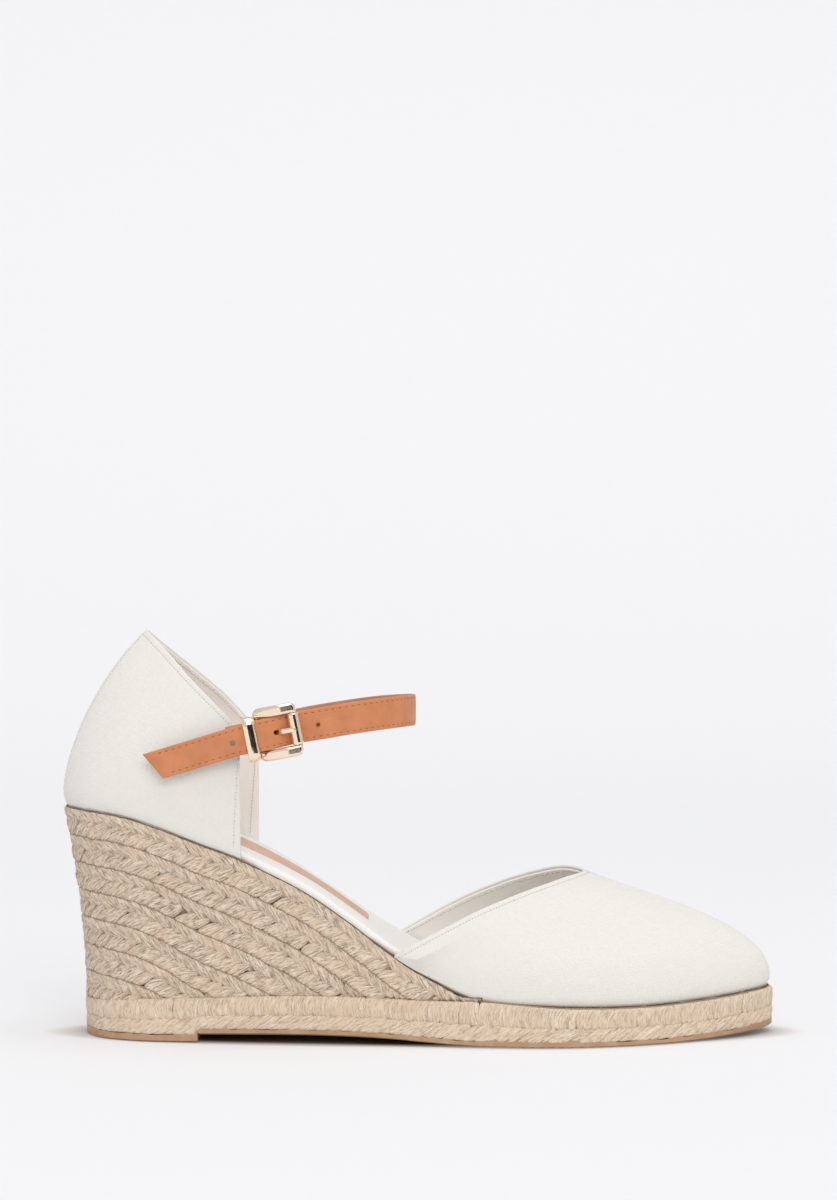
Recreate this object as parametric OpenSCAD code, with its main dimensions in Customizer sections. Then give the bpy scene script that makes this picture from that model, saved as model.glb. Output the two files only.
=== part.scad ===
// Closed-toe wedge sandal with an ankle strap and a roller buckle, right foot.
// Frame: +X towards the toe, +Y towards the inner side of the foot, +Z up.
// The origin is the middle of the heel pad's underside. All sizes are in millimetres.

/* [Upper] */
// Thickness of the canvas
canvas_t = 1.0; // [0.8:0.1:1.2]
// Thickness of the textile lining
lining_t = 0.8; // [0.6:0.1:1.0]
// Thickness of the stiffener in the heel and in the toe
stiffener_t = 0.9; // [0.6:0.1:1.0]

/* [Wedge] */
// Width of one row of jute braid, measured down the back of the wedge
braid_w = 9.15; // [9:0.05:9.3]
// Thickness of a braid row
braid_t = 2.7; // [2.2:0.1:2.8]
// Depth of the two rope rows round the bottom edge
rope_t = 3.2; // [2.6:0.1:3.3]
// Thickness of the heel pad
pad_t = 2.7; // [2:0.1:2.7]
// Thickness of the rubber outsole in front of the heel pad
outsole_t = 1.9; // [1.5:0.1:2.2]

/* [Insole] */
// Thickness of the insole board
board_t = 1.2; // [1:0.1:1.5]
// Thickness of the foam on the board
foam_t = 1.2; // [0.8:0.1:1.5]
// Thickness of the canvas over the foam
cover_t = 0.5; // [0.4:0.1:0.6]
// Thickness of the leather heel sock
sock_t = 0.5; // [0.4:0.1:0.8]

/* [Strap] */
// Width of the ankle strap
strap_w = 10; // [9.6:0.1:10.2]
// Thickness of the strap's outer leather
strap_leather_t = 1.3; // [1:0.1:1.3]
// Thickness of the strap's lining leather
strap_lining_t = 0.7; // [0.5:0.1:0.7]
// Diameter of the punched holes
hole_d = 1.8; // [1.5:0.1:2]

/* [Buckle] */
// Clear width of the buckle, for the strap
buckle_gap = 10.8; // [10.6:0.1:11.2]
// Width of the buckle's two side bars
side_bar_w = 3.6; // [3:0.1:3.8]
// Outer diameter of the roller
roller_d = 4.0; // [3.8:0.1:4]
// Diameter of the hinge bar under the strap
hinge_d = 2.0; // [1.8:0.1:2]
// Radial clearance of the roller and the prong on their bars
running_gap = 0.05; // [0.03:0.01:0.08]

/* [Hidden] */

// Outer side of the foot is -1, inner side is +1.
OUTER = -1;
INNER = 1;

// Feather edge, where the upper meets the wedge, from the back of the heel to the toe: x, y, z.
FEATHER_OUTER = [
    [-27, 0, 77], [-20.5, -17, 76.9], [-6, -26.5, 75.2], [7, -28.6, 71.3], [20, -29.2, 66.3],
    [34, -29.5, 61], [54, -30, 51.2], [70, -31.5, 40.6], [85, -34, 29.4], [97, -36.6, 22.4],
    [113.5, -39.3, 15.4], [140, -40.2, 13.3], [166.5, -34, 12.8], [188, -23, 13.6],
    [205.5, -10.5, 15], [213, 1.5, 15.7]
];
FEATHER_INNER = [
    [-27, 0, 77], [-20.5, 17, 77], [-6, 26.3, 75.4], [7, 28, 71.5], [20, 27.8, 66.5],
    [34, 27, 61.2], [54, 25.6, 51.4], [70, 26, 40.8], [85, 28.4, 29.6], [97, 31.3, 22.6],
    [113.5, 35.8, 15.5], [140, 39.2, 13.4], [166.5, 36, 12.8], [188, 26.5, 13.6],
    [205.5, 14, 15], [213, 1.5, 15.7]
];

// Edge of the rope welt: x, y, height of its top, height of the sole's underside.
WELT_OUTER = [
    [-19.6, 0, 12.8, 2.7], [-14.3, -16, 13.3, 2.7], [-2, -24.6, 14.3, 2.7], [9, -27.2, 15, 2.7],
    [19.5, -28.3, 15.3, 2.7], [34, -29, 15.8, 2.7], [54, -30.4, 16.2, 2.7],
    [70, -32.6, 16.2, 2.5], [85, -35.6, 15.9, 2], [97, -38.2, 15.6, 1.2], [114, -40.8, 15.3, 0.3],
    [141, -41.9, 13.2, 0], [167.5, -35.5, 12.7, 0], [189, -24.4, 13.5, 0.5],
    [206.6, -11.3, 14.9, 1.8], [213.6, 1.5, 15.6, 2.8]
];
WELT_INNER = [
    [-19.6, 0, 12.8, 2.7], [-14.3, 16, 13.3, 2.7], [-2, 24.4, 14.3, 2.7], [9, 26.8, 15, 2.7],
    [19.5, 27, 15.3, 2.7], [34, 26.5, 15.8, 2.7], [54, 25.8, 16.2, 2.7], [70, 27, 16.2, 2.5],
    [85, 30, 15.9, 2], [97, 33, 15.6, 1.2], [114, 37.4, 15.3, 0.3], [141, 40.8, 13.2, 0],
    [167.5, 37.5, 12.7, 0], [189, 27.8, 13.5, 0.5], [206.6, 14.8, 14.9, 1.8],
    [213.6, 1.5, 15.6, 2.8]
];

// Stations along those edges that bound the parts.
TOE = 15;
PAD_END = 4;
WEDGE_END = 9.5;
QUARTER_FRONT = 5;
VAMP_REAR = 8;
TIP_CUT = 0.05;

// Top edge of the vamp, from its rear corner to the throat.
VAMP_TOP_OUTER = [
    [85.6, -34.2, 30.5], [94.4, -32.6, 35.2], [104, -30, 40], [113, -27, 44.3],
    [127.2, -20, 49.4], [141.5, -9.8, 53.4], [149.2, 0, 55.1]
];
VAMP_TOP_INNER = [
    [86, 28.8, 30.7], [95.5, 29.6, 36.2], [104.5, 28.5, 41.2], [114, 25.8, 46],
    [128, 19, 51.9], [142, 9, 56], [149.2, 0, 55.1]
];
// Direction in which the vamp leaves its top edge, from the rear corner to the throat.
VAMP_FALL = [
    [0, 0.35, -0.94], [0.15, 0.55, -0.82], [0.5, 0.6, -0.62], [0.82, 0.38, -0.42], [0.94, 0, -0.34]
];

// Top edge of the quarter, from its front corner to the peak at the back.
QUARTER_TOP_OUTER = [
    [33.6, -26.9, 101.5], [30.8, -25.6, 107.4], [24.5, -22.9, 113.9], [17, -18.6, 121.2],
    [9.1, -11.6, 129.4], [1, 0, 137]
];
QUARTER_TOP_INNER = [
    [37.6, 27.4, 99.5], [33.6, 26.4, 105.8], [26.2, 24.2, 114.2], [17, 19.5, 122.4],
    [8.6, 11.4, 129.8], [1, 0, 137]
];
QUARTER_FALL = [[0.02, 0.12, -0.99], [-0.3, 0.45, -0.84], [-0.745, 0, -0.667]];

// Centre line of the ankle strap, from its free end round the ankle to the inner side.
STRAP_PATH = [
    [3.1, -32.6, 92.1], [17, -32.9, 96.3], [29, -32.8, 100], [35.5, -32.6, 101.8],
    [41.1, -32.1, 103.1], [46.9, -30.5, 104.4], [52.4, -28.5, 105.5], [60.6, -27.6, 106.7],
    [70, -25.4, 108.2], [80, -19.5, 109.3], [88, -10.5, 109.8], [91.2, 0, 109.6],
    [88, 10.5, 109], [79.5, 19.5, 107.9], [68, 25.5, 106], [56, 28, 103.9],
    [43.2, 28.4, 101.6], [38.2, 28.3, 100.8]
];
STRAP_END_ROUND = strap_w / 2;
STRAP_TIP_SLANT = 4.3;
// What the strap's half width has more or less than strap_w / 2, by station.
STRAP_EXTRA = [[0, -0.15], [6, -0.1], [8, 0.35], [15, 0.35], [16, 0]];

// Buckle: place of its hinge bar and its tilt in the side view.
BUCKLE_AT = [41.1, -28.5, 102.9];
BUCKLE_TILT = 11.5;
ROLLER_AT = [11.6, -3.4];
PRONG_HOLE = [3.9, 8.2];
TAB_T = 1.15;
TAB_LESS = 0.1;
TAB_SLOT = 2.8;
TAB_BACK = -6.1;
KEEPER_SPAN = [-5.5, -1.4];
KEEPER_WALL = 1.2;
KEEPER_BACK = 0.8;
KEEPER_END = 2.3;
KEEPER_DROP = 0.3;
KEEPER_OUT = 5.15;

ROUND = 48;

// ---------- Points and curves ----------

function unit(v) = v / norm(v);
function between(a, b, f) = a + (b - a) * f;

// Catmull-Rom curve through a list of points, whose first and last are only guides.
function through(p, t) =
    let (
        last = len(p) - 3,
        i = min(max(floor(t), 0), last - 1),
        f = t - i,
        a = p[i], b = p[i + 1], c = p[i + 2], d = p[i + 3]
    )
    0.5 * (2 * b + (c - a) * f + (2 * a - 5 * b + 4 * c - d) * f * f
        + (3 * b - a - 3 * c + d) * f * f * f);

// Adds guide points that carry an open list on past its ends.
function open_guides(p) =
    let (n = len(p) - 1)
    concat([2 * p[0] - p[1]], p, [2 * p[n] - p[n - 1]]);

// Adds guide points so that the list leaves its first point straight and passes its last
// point without a corner, on its way to the matching list of the other side.
function join_guides(p, other) =
    let (n = len(p) - 1)
    concat([2 * p[0] - p[1]], p, [other[n - 1]]);

function bezier(p0, p1, p2, p3, f) =
    let (g = 1 - f)
    g * g * g * p0 + 3 * g * g * f * p1 + 3 * g * f * f * p2 + f * f * f * p3;

// ---------- Edges of the shoe ----------

function edge_list(side, kind) =
    kind == "feather"
        ? (side == OUTER ? FEATHER_OUTER : FEATHER_INNER)
        : (side == OUTER ? WELT_OUTER : WELT_INNER);

function edge_guided(side, kind) =
    let (
        p = edge_list(side, kind),
        n = len(p) - 1,
        other = edge_list(-side, kind)
    )
    concat([other[1]], p, [other[n - 1]]);

function edge_point(side, kind, t) = through(edge_guided(side, kind), t);

// Unit vector that points out of the shoe in plan at an edge.
function outward(side, kind, t) =
    let (
        step = 0.02,
        a = edge_point(side, kind, max(t - step, 0)),
        b = edge_point(side, kind, min(t + step, TOE)),
        d = unit([b[0] - a[0], b[1] - a[1]])
    )
    side == OUTER ? [d[1], -d[0]] : [-d[1], d[0]];

// Edge moved inwards in plan by a distance.
function inset_edge(side, kind, t, inset) =
    let (p = edge_point(side, kind, t), n = outward(side, kind, t))
    [p[0] - n[0] * inset, p[1] - n[1] * inset, p[2]];

function under_z(side, t) = edge_point(side, "welt", t)[3];
function welt_z(side, t) = edge_point(side, "welt", t)[2];
function wall_h(side, t) = edge_point(side, "feather", t)[2] - welt_z(side, t);

// Wall of the wedge at a share f of the way down from the feather edge to the welt.
function wall_point(side, t, f, inset) =
    let (
        top = inset_edge(side, "feather", t, inset),
        foot = inset_edge(side, "welt", t, inset),
        lean = 1 - pow(1 - f, 1.85)
    )
    [
        between(top[0], foot[0], lean),
        between(top[1], foot[1], lean),
        between(top[2], foot[2], f)
    ];

// Stations from heel to toe, closer together round the ends and at the pad's step.
STATIONS = concat(
    [TIP_CUT, 0.3, 0.6],
    [for (t = [1:0.5:PAD_END]) t],
    [PAD_END + 0.03],
    [for (t = [PAD_END + 0.5:0.5:TOE - 1]) t],
    [TOE - 0.6, TOE - 0.3, TOE - TIP_CUT]
);
function stations_in(low, high) = [for (t = STATIONS) if (t >= low && t <= high) t];
function reversed(p) = [for (k = [len(p) - 1:-1:0]) p[k]];

// Side and station of each place on the way round the heel, from outer front to inner front.
function round_heel(list) =
    concat([for (t = reversed(list)) [OUTER, t]], [for (t = list) [INNER, t]]);

// ---------- Solids from sections ----------

// Joins sections of equal length, each an even loop of points whose k-th and last-k-th
// points face each other. An open run gets a flat cap at both ends. The two halves of a
// loop are split along opposite diagonals, so that solids that share a face fit exactly.
module loft(sections, closed = false, turned = false) {
    m = len(sections[0]);
    n = len(sections);
    runs = closed ? n : n - 1;
    points = [for (s = sections) each s];
    walls = [
        for (i = [0:runs - 1], k = [0:m - 1])
            let (
                a = i * m + k,
                b = i * m + (k + 1) % m,
                c = ((i + 1) % n) * m + (k + 1) % m,
                d = ((i + 1) % n) * m + k
            )
            each k < m / 2 ? [[a, b, c], [a, c, d]] : [[b, c, d], [b, d, a]]
    ];
    caps = closed ? [] : [
        for (k = [0:m / 2 - 2])
            let (a = k, b = k + 1, c = m - 2 - k, d = m - 1 - k, e = (n - 1) * m)
            each [
                [a, d, c], [a, c, b],
                [e + a, e + b, e + c], [e + a, e + c, e + d]
            ]
    ];
    faces = concat(walls, caps);
    polyhedron(points, turned ? [for (f = faces) [f[0], f[2], f[1]]] : faces);
}

// Thickness of the glue between the sole, the insole and the upper.
GLUE = 0.15;

// ---------- Sole ----------

function flat_section(t, kind, inset, top, bottom) =
    let (a = inset_edge(OUTER, kind, t, inset), b = inset_edge(INNER, kind, t, inset))
    [
        [a[0], a[1], top[0]], [b[0], b[1], top[1]],
        [b[0], b[1], bottom[1]], [a[0], a[1], bottom[0]]
    ];

module heel_pad() {
    color("#b58a68")
    loft([
        for (t = stations_in(0, PAD_END))
            flat_section(t, "welt", 0.5, [pad_t, pad_t], [0, 0])
    ]);
}

module outsole() {
    color("#bd9270")
    loft([
        for (t = stations_in(PAD_END + 0.01, TOE))
            let (a = under_z(OUTER, t), b = under_z(INNER, t))
            flat_section(t, "welt", 0.3, [a + outsole_t, b + outsole_t], [a, b])
    ]);
}

// Height where the rope rows start: on the pad at the heel, on the outsole in front of it.
function rope_z(side, t) = t <= PAD_END ? pad_t : under_z(side, t) + outsole_t;
function rope_mid_z(side, t) = between(rope_z(side, t), welt_z(side, t), 0.42);

module midsole_core() {
    color("#d8cdb8")
    loft([
        for (t = STATIONS)
            flat_section(
                t, "welt", rope_t,
                [welt_z(OUTER, t) - GLUE, welt_z(INNER, t) - GLUE],
                [rope_z(OUTER, t), rope_z(INNER, t)]
            )
    ]);
}

// One rope row: a rounded band on the welt line, all the way round the shoe.
module rope_row(low, high, bulge) {
    loft([
        for (p = round_heel(STATIONS))
            let (
                z0 = between(rope_z(p[0], p[1]), welt_z(p[0], p[1]) - GLUE, low),
                z1 = between(rope_z(p[0], p[1]), welt_z(p[0], p[1]) - GLUE, high),
                outer = inset_edge(p[0], "welt", p[1], bulge),
                crown = inset_edge(p[0], "welt", p[1], 0),
                inner = inset_edge(p[0], "welt", p[1], rope_t)
            )
            [
                [outer[0], outer[1], z0],
                [crown[0], crown[1], between(z0, z1, 0.3)],
                [crown[0], crown[1], between(z0, z1, 0.7)],
                [outer[0], outer[1], z1],
                [inner[0], inner[1], z1],
                [inner[0], inner[1], z0]
            ]
    ], closed = true, turned = true);
}

module rope_welt_lower() {
    color("#d9bd99")
    rope_row(0, 0.42, 0.6);
}

module rope_welt_upper() {
    color("#dcc3a2")
    rope_row(0.42, 1, 0.6);
}

// ---------- Wedge ----------

WALL_SHARES = [0, 0.25, 0.5, 0.75, 1];

// Glue between the top of the core and the insole board.
CORE_GLUE = 0.3;

function core_point(side, t, f) = wall_point(side, t, f, braid_t + 0.3) - [0, 0, f == 0 ? CORE_GLUE : 0];

module wedge_core() {
    color("#cbb595")
    difference() {
        loft([
            for (t = stations_in(0, WEDGE_END))
                concat(
                    [for (f = WALL_SHARES) core_point(OUTER, t, f)],
                    [for (f = reversed(WALL_SHARES)) core_point(INNER, t, f)]
                )
        ], turned = true);
        shank_bar(SHANK_GAP, SHANK_GAP + 4);
    }
}

// Depth of one braid row down the wall: more where the feather edge is steep.
function row_drop(side, t) =
    let (x = edge_point(side, "feather", t)[0])
    braid_w * lookup(x, [[-27, 1], [0, 1.02], [30, 1.08], [60, 1.13], [97, 1.15]]);

function row_reaches(side, t, row) = (row - 1) * row_drop(side, t) < wall_h(side, t) - 1;

function braid_section(side, t, row) =
    let (
        h = wall_h(side, t),
        drop = row_drop(side, t),
        f0 = (row - 1) * drop / h,
        f1 = row == 7 ? 1 : min(row * drop / h, 1),
        lip = 0.5
    )
    [
        wall_point(side, t, f0, lip),
        wall_point(side, t, between(f0, f1, 0.3), 0),
        wall_point(side, t, between(f0, f1, 0.7), 0),
        wall_point(side, t, f1, lip),
        wall_point(side, t, f1, braid_t),
        wall_point(side, t, f0, braid_t)
    ];

module wedge_braid(row) {
    color("#d3b795")
    loft([
        for (p = round_heel(stations_in(0, WEDGE_END)))
            if (row_reaches(p[0], p[1], row)) braid_section(p[0], p[1], row)
    ]);
}

// Steel shank let into the top of the wedge, under the insole board: x and z of its top.
SHANK_LINE = [[4, 71.2], [50, 52], [98, 20.4]];
SHANK_HALF = 6;
SHANK_T = 1.4;
SHANK_GAP = 0.2;

// The bar, grown by a gap at its sides, ends and underside, and by a height above it.
module shank_bar(gap, above) {
    half = SHANK_HALF + gap;
    loft([
        for (k = [0:2])
            let (
                x = SHANK_LINE[k][0] + (k - 1) * gap,
                top = SHANK_LINE[k][1] + above,
                low = SHANK_LINE[k][1] - SHANK_T - gap
            )
            [[x, -half, top], [x, half, top], [x, half, low], [x, -half, low]]
    ]);
}

module shank() {
    color("#8c9096")
    shank_bar(0, 0);
}

// ---------- Insole ----------

// The insole reaches the wedge's edge only in the open waist of the shoe.
function insole_inset(t) =
    lookup(t, [[0, 3.1], [4.7, 3.1], [5.4, 0.4], [7.4, 0.4], [8.4, 3.3], [15, 3.3]]);

module insole_layer(low, high, extra) {
    loft([
        for (t = stations_in(0, TOE))
            let (
                za = edge_point(OUTER, "feather", t)[2] + GLUE,
                zb = edge_point(INNER, "feather", t)[2] + GLUE
            )
            flat_section(t, "feather", insole_inset(t) + extra, [za + high, zb + high],
                [za + low, zb + low])
    ]);
}

module insole_board() {
    color("#b9a88a")
    insole_layer(0, board_t, cover_t);
}

module insole_foam() {
    color("#e6e2d8")
    insole_layer(board_t, board_t + foam_t, cover_t);
}

// Canvas over the foam, turned down round the edge.
module insole_cover() {
    color("#f1efe9")
    difference() {
        insole_layer(0, board_t + foam_t + cover_t, 0);
        insole_layer(-1, board_t + foam_t, cover_t);
    }
}

SOCK_RUN = [1, 7.5];
SOCK_HALF = 11.5;
SOCK_HEEL_HALF = 8;
SOCK_HEEL_SHIFT = 6;

// Point on the insole's top at a station and a distance across, raised by a height.
function on_insole(t, across, height) =
    let (
        a = inset_edge(OUTER, "feather", t, insole_inset(t)),
        b = inset_edge(INNER, "feather", t, insole_inset(t)),
        p = between(a, b, (across - a[1]) / (b[1] - a[1]))
    )
    [p[0], across, p[2] + 2 * GLUE + board_t + foam_t + cover_t + height];

module heel_sock() {
    color("#d3a37f")
    loft([
        for (t = stations_in(SOCK_RUN[0], SOCK_RUN[1]))
            let (
                half = t == SOCK_RUN[0] ? SOCK_HEEL_HALF : SOCK_HALF,
                move = [t == SOCK_RUN[0] ? SOCK_HEEL_SHIFT : 0, 0, 0]
            )
            [
                on_insole(t, -half, sock_t) + move, on_insole(t, half, sock_t) + move,
                on_insole(t, half, 0) + move, on_insole(t, -half, 0) + move
            ]
    ]);
}

// ---------- Upper ----------

VAMP_COLUMNS = 12;
VAMP_ROWS = 8;
VAMP_RISE = 16.5;
QUARTER_COLUMNS = 10;
QUARTER_ROWS = 9;

// Outer face of the vamp: share w runs from the rear corner (0) to the toe (1),
// share f from the feather edge (0) to the top edge (1).
function vamp_point(side, w, f) =
    let (
        t = VAMP_REAR + (TOE - VAMP_REAR) * w,
        foot = inset_edge(side, "feather", t, 0),
        tops = side == OUTER ? VAMP_TOP_OUTER : VAMP_TOP_INNER,
        others = side == OUTER ? VAMP_TOP_INNER : VAMP_TOP_OUTER,
        top = through(join_guides(tops, others), 6 * (1 - pow(1 - w, 1.7))),
        n = outward(side, "feather", t),
        fall = unit(through(open_guides(VAMP_FALL), 4 * w)),
        reach = norm(top - foot),
        rise = min(0.4 * reach, VAMP_RISE),
        p1 = foot + rise * [0.1 * n[0], 0.1 * n[1], 1],
        p2 = top + 0.38 * reach * [fall[0], side * fall[1], fall[2]]
    )
    bezier(foot, p1, p2, top, f);

// Outer face of the quarter: w runs from the front edge (0) to the back seam (1).
function quarter_point(side, w, f) =
    let (
        t = QUARTER_FRONT * (1 - w) + (side == INNER ? 0.2 * (1 - w) : 0),
        foot = inset_edge(side, "feather", t, 0),
        tops = side == OUTER ? QUARTER_TOP_OUTER : QUARTER_TOP_INNER,
        others = side == OUTER ? QUARTER_TOP_INNER : QUARTER_TOP_OUTER,
        top = through(join_guides(tops, others), 5 * w),
        n = outward(side, "feather", t),
        lean = 0.05 + 0.18 * w,
        fall = unit(through(open_guides(QUARTER_FALL), 2 * w)),
        reach = norm(top - foot),
        p1 = foot + 13.5 * [lean * n[0], lean * n[1], 1],
        p2 = top + 0.36 * reach * [fall[0], side * fall[1], fall[2]]
    )
    bezier(foot, p1, p2, top, f);

// Grids of points: columns run from the outer side round to the inner side.
VAMP_GRID = [
    for (i = [-VAMP_COLUMNS:VAMP_COLUMNS])
        let (side = i <= 0 ? OUTER : INNER, w = 1 - abs(i) / VAMP_COLUMNS)
        [for (j = [0:VAMP_ROWS]) vamp_point(side, w, j / VAMP_ROWS)]
];
QUARTER_GRID = [
    for (i = [-QUARTER_COLUMNS:QUARTER_COLUMNS])
        let (side = i <= 0 ? OUTER : INNER, w = 1 - abs(i) / QUARTER_COLUMNS)
        [for (j = [0:QUARTER_ROWS]) quarter_point(side, w, j / QUARTER_ROWS)]
];

// Unit normal of a grid at column i, row j, pointing out of the shoe.
function grid_normal(grid, i, j, sign) =
    let (
        n = len(grid) - 1,
        m = len(grid[0]) - 1,
        a = grid[min(i + 1, n)][j] - grid[max(i - 1, 0)][j],
        b = grid[i][min(j + 1, m)] - grid[i][max(j - 1, 0)]
    )
    sign * unit(cross(a, b));

// The same grid moved inwards by a depth that a list of lists gives.
function sunk(grid, sign, depth) = [
    for (i = [0:len(grid) - 1])
        [for (j = [0:len(grid[0]) - 1]) grid[i][j] - grid_normal(grid, i, j, sign) * depth[i][j]]
];

// Solid between two grids, over a range of columns and rows.
module sheet(outer, inner, columns, rows, turned = false) {
    loft([
        for (i = [columns[0]:columns[1]])
            concat(
                [for (j = [rows[0]:rows[1]]) outer[i][j]],
                [for (j = [rows[1]:-1:rows[0]]) inner[i][j]]
            )
    ], turned = turned);
}

// Smooth rise from 0 at a to 1 at b.
function ramp(v, a, b) =
    let (f = min(max((v - a) / (b - a), 0), 1))
    f * f * (3 - 2 * f);

// Thickness of the toe puff and of the heel counter over their grids, thinned at the edges.
PUFF_COLUMNS = [6, 18];
PUFF_ROWS = [0, 5];
PUFF = [
    for (i = [0:2 * VAMP_COLUMNS])
        [for (j = [0:VAMP_ROWS])
            stiffener_t * ramp(VAMP_COLUMNS + 0.5 - abs(i - VAMP_COLUMNS), 6, 9)
                * ramp(5.2 - j, 0, 2)]
];
COUNTER_COLUMNS = [3, 17];
COUNTER_ROWS = [0, 6];
COUNTER = [
    for (i = [0:2 * QUARTER_COLUMNS])
        [for (j = [0:QUARTER_ROWS])
            stiffener_t * ramp(QUARTER_COLUMNS + 0.5 - abs(i - QUARTER_COLUMNS), 3, 6)
                * ramp(6.2 - j, 0, 2)]
];

function layer(grid, base, extra) = [
    for (i = [0:len(grid) - 1]) [for (j = [0:len(grid[0]) - 1]) base + extra * grid[i][j]]
];

VAMP_IN = sunk(VAMP_GRID, 1, layer(PUFF, canvas_t, 0));
VAMP_PUFF_IN = sunk(VAMP_GRID, 1, layer(PUFF, canvas_t, 1));
VAMP_LINING_IN = sunk(VAMP_GRID, 1, layer(PUFF, canvas_t + lining_t, 1));
QUARTER_IN = sunk(QUARTER_GRID, -1, layer(COUNTER, canvas_t, 0));
QUARTER_COUNTER_IN = sunk(QUARTER_GRID, -1, layer(COUNTER, canvas_t, 1));
QUARTER_LINING_IN = sunk(QUARTER_GRID, -1, layer(COUNTER, canvas_t + lining_t, 1));

module vamp_canvas() {
    color("#eeece6")
    sheet(VAMP_GRID, VAMP_IN, [0, 2 * VAMP_COLUMNS], [0, VAMP_ROWS]);
}

module toe_puff() {
    color("#cfc6b4")
    sheet(VAMP_IN, VAMP_PUFF_IN, PUFF_COLUMNS, PUFF_ROWS);
}

module vamp_lining() {
    color("#d9d2ca")
    sheet(VAMP_PUFF_IN, VAMP_LINING_IN, [0, 2 * VAMP_COLUMNS], [0, VAMP_ROWS]);
}

module quarter_outer_side() {
    color("#eeece6")
    sheet(QUARTER_GRID, QUARTER_IN, [0, QUARTER_COLUMNS], [0, QUARTER_ROWS], turned = true);
}

module quarter_inner_side() {
    color("#eeece6")
    sheet(QUARTER_GRID, QUARTER_IN, [QUARTER_COLUMNS, 2 * QUARTER_COLUMNS], [0, QUARTER_ROWS],
        turned = true);
}

module heel_counter() {
    color("#cfc6b4")
    sheet(QUARTER_IN, QUARTER_COUNTER_IN, COUNTER_COLUMNS, COUNTER_ROWS, turned = true);
}

module quarter_lining() {
    color("#d9d2ca")
    sheet(QUARTER_COUNTER_IN, QUARTER_LINING_IN, [0, 2 * QUARTER_COLUMNS], [0, QUARTER_ROWS],
        turned = true);
}

// ---------- Strap ----------

STRAP_GUIDED = open_guides(STRAP_PATH);
STRAP_LAST = len(STRAP_PATH) - 1;
function strap_centre(t) = through(STRAP_GUIDED, t);
function strap_along(t) =
    unit(strap_centre(min(t + 0.02, STRAP_LAST)) - strap_centre(max(t - 0.02, 0)));
// Across the strap, as upright as the strap's run allows.
function strap_across(t) =
    let (a = strap_along(t), up = [0, 0, 1])
    unit(up - (up * a) * a);
// Out of the strap's outer face.
function strap_out(t) = cross(strap_along(t), strap_across(t));

// Half width near the inner end, which is cut as a half circle.
function strap_half(t) =
    let (left = norm(strap_centre(STRAP_LAST) - strap_centre(t)))
    t < STRAP_LAST - 1.2 || left > STRAP_END_ROUND
        ? strap_w / 2 + lookup(t, STRAP_EXTRA)
        : max(sqrt(pow(STRAP_END_ROUND, 2) - pow(STRAP_END_ROUND - left, 2)), 0.8);

function strap_section(t, low, high) =
    let (
        c = strap_centre(t),
        w = strap_across(t) * strap_half(t),
        n = strap_out(t),
        slant = t == 0 ? strap_along(t) * STRAP_TIP_SLANT : [0, 0, 0]
    )
    [c + w + n * high, c - w + n * high + slant, c - w + n * low + slant, c + w + n * low];

STRAP_STEPS = concat(
    [for (t = [0:0.5:STRAP_LAST - 1]) t],
    [for (t = [STRAP_LAST - 0.75:0.25:STRAP_LAST]) t]
);
STRAP_HALF_T = (strap_leather_t + strap_lining_t) / 2;

// Punched holes: x and z of each on the strap's outer run.
STRAP_HOLES = [[31.7, 100.5], [59.8, 106.4]];
module strap_holes() {
    for (h = STRAP_HOLES)
        translate([h[0], -24, h[1]])
        rotate([90, 0, 0])
        cylinder(h = 12, d = hole_d, $fn = ROUND);
    in_buckle()
    translate([0, 4, 0])
    rotate([90, 0, 0])
    long_hole();
}

// Hole under the prong, long enough for the prong to tip.
module long_hole() {
    r = 1.15;
    for (x = [PRONG_HOLE[0] + r, PRONG_HOLE[1] - r])
        translate([x, 0, 0])
        cylinder(h = 12, r = r, $fn = ROUND);
    translate([PRONG_HOLE[0] + r, -r, 0])
    cube([PRONG_HOLE[1] - PRONG_HOLE[0] - 2 * r, 2 * r, 12]);
}

module strap_layer(low, high) {
    difference() {
        loft([for (t = STRAP_STEPS) strap_section(t, low, high)], turned = true);
        strap_holes();
    }
}

module ankle_strap() {
    color("#cd875a")
    strap_layer(STRAP_HALF_T - strap_leather_t, STRAP_HALF_T);
}

module strap_lining() {
    color("#d79a80")
    strap_layer(-STRAP_HALF_T, STRAP_HALF_T - strap_leather_t);
}

// ---------- Buckle ----------

module in_buckle() {
    translate(BUCKLE_AT)
    rotate([0, -BUCKLE_TILT, 0])
    children();
}

// Shape drawn in the buckle's side plane (along the strap, outwards), run across the strap.
module across_strap(low, high) {
    translate([0, 0, low])
    linear_extrude(high - low)
    children();
}

// Leather tab that joins the buckle to the quarter: it runs round the hinge bar and back.
module buckle_tab() {
    inner_r = hinge_d / 2 + 0.05;
    outer_r = inner_r + TAB_T;
    half = strap_w / 2 - TAB_LESS;
    color("#cd875a")
    in_buckle()
    difference() {
        union() {
            intersection() {
                across_strap(-half, half)
                difference() {
                    circle(outer_r, $fn = ROUND);
                    circle(inner_r, $fn = ROUND);
                }
                translate([0, -5, -10])
                cube([10, 10, 20]);
            }
            translate([-2.2, -outer_r, -half])
            cube([2.21, TAB_T, 2 * half]);
            intersection() {
                translate([TAB_BACK, inner_r, -half])
                cube([-TAB_BACK + 0.01, TAB_T, 2 * half]);
                union() {
                    translate([TAB_BACK + half, 0, 0])
                    rotate([-90, 0, 0])
                    cylinder(h = 5, r = half, $fn = ROUND);
                    translate([TAB_BACK + half, 0, -half])
                    cube([10, 5, 2 * half]);
                }
            }
        }
        translate([-3, -5, -TAB_SLOT / 2])
        cube([8, 10, TAB_SLOT]);
    }
}

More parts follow.
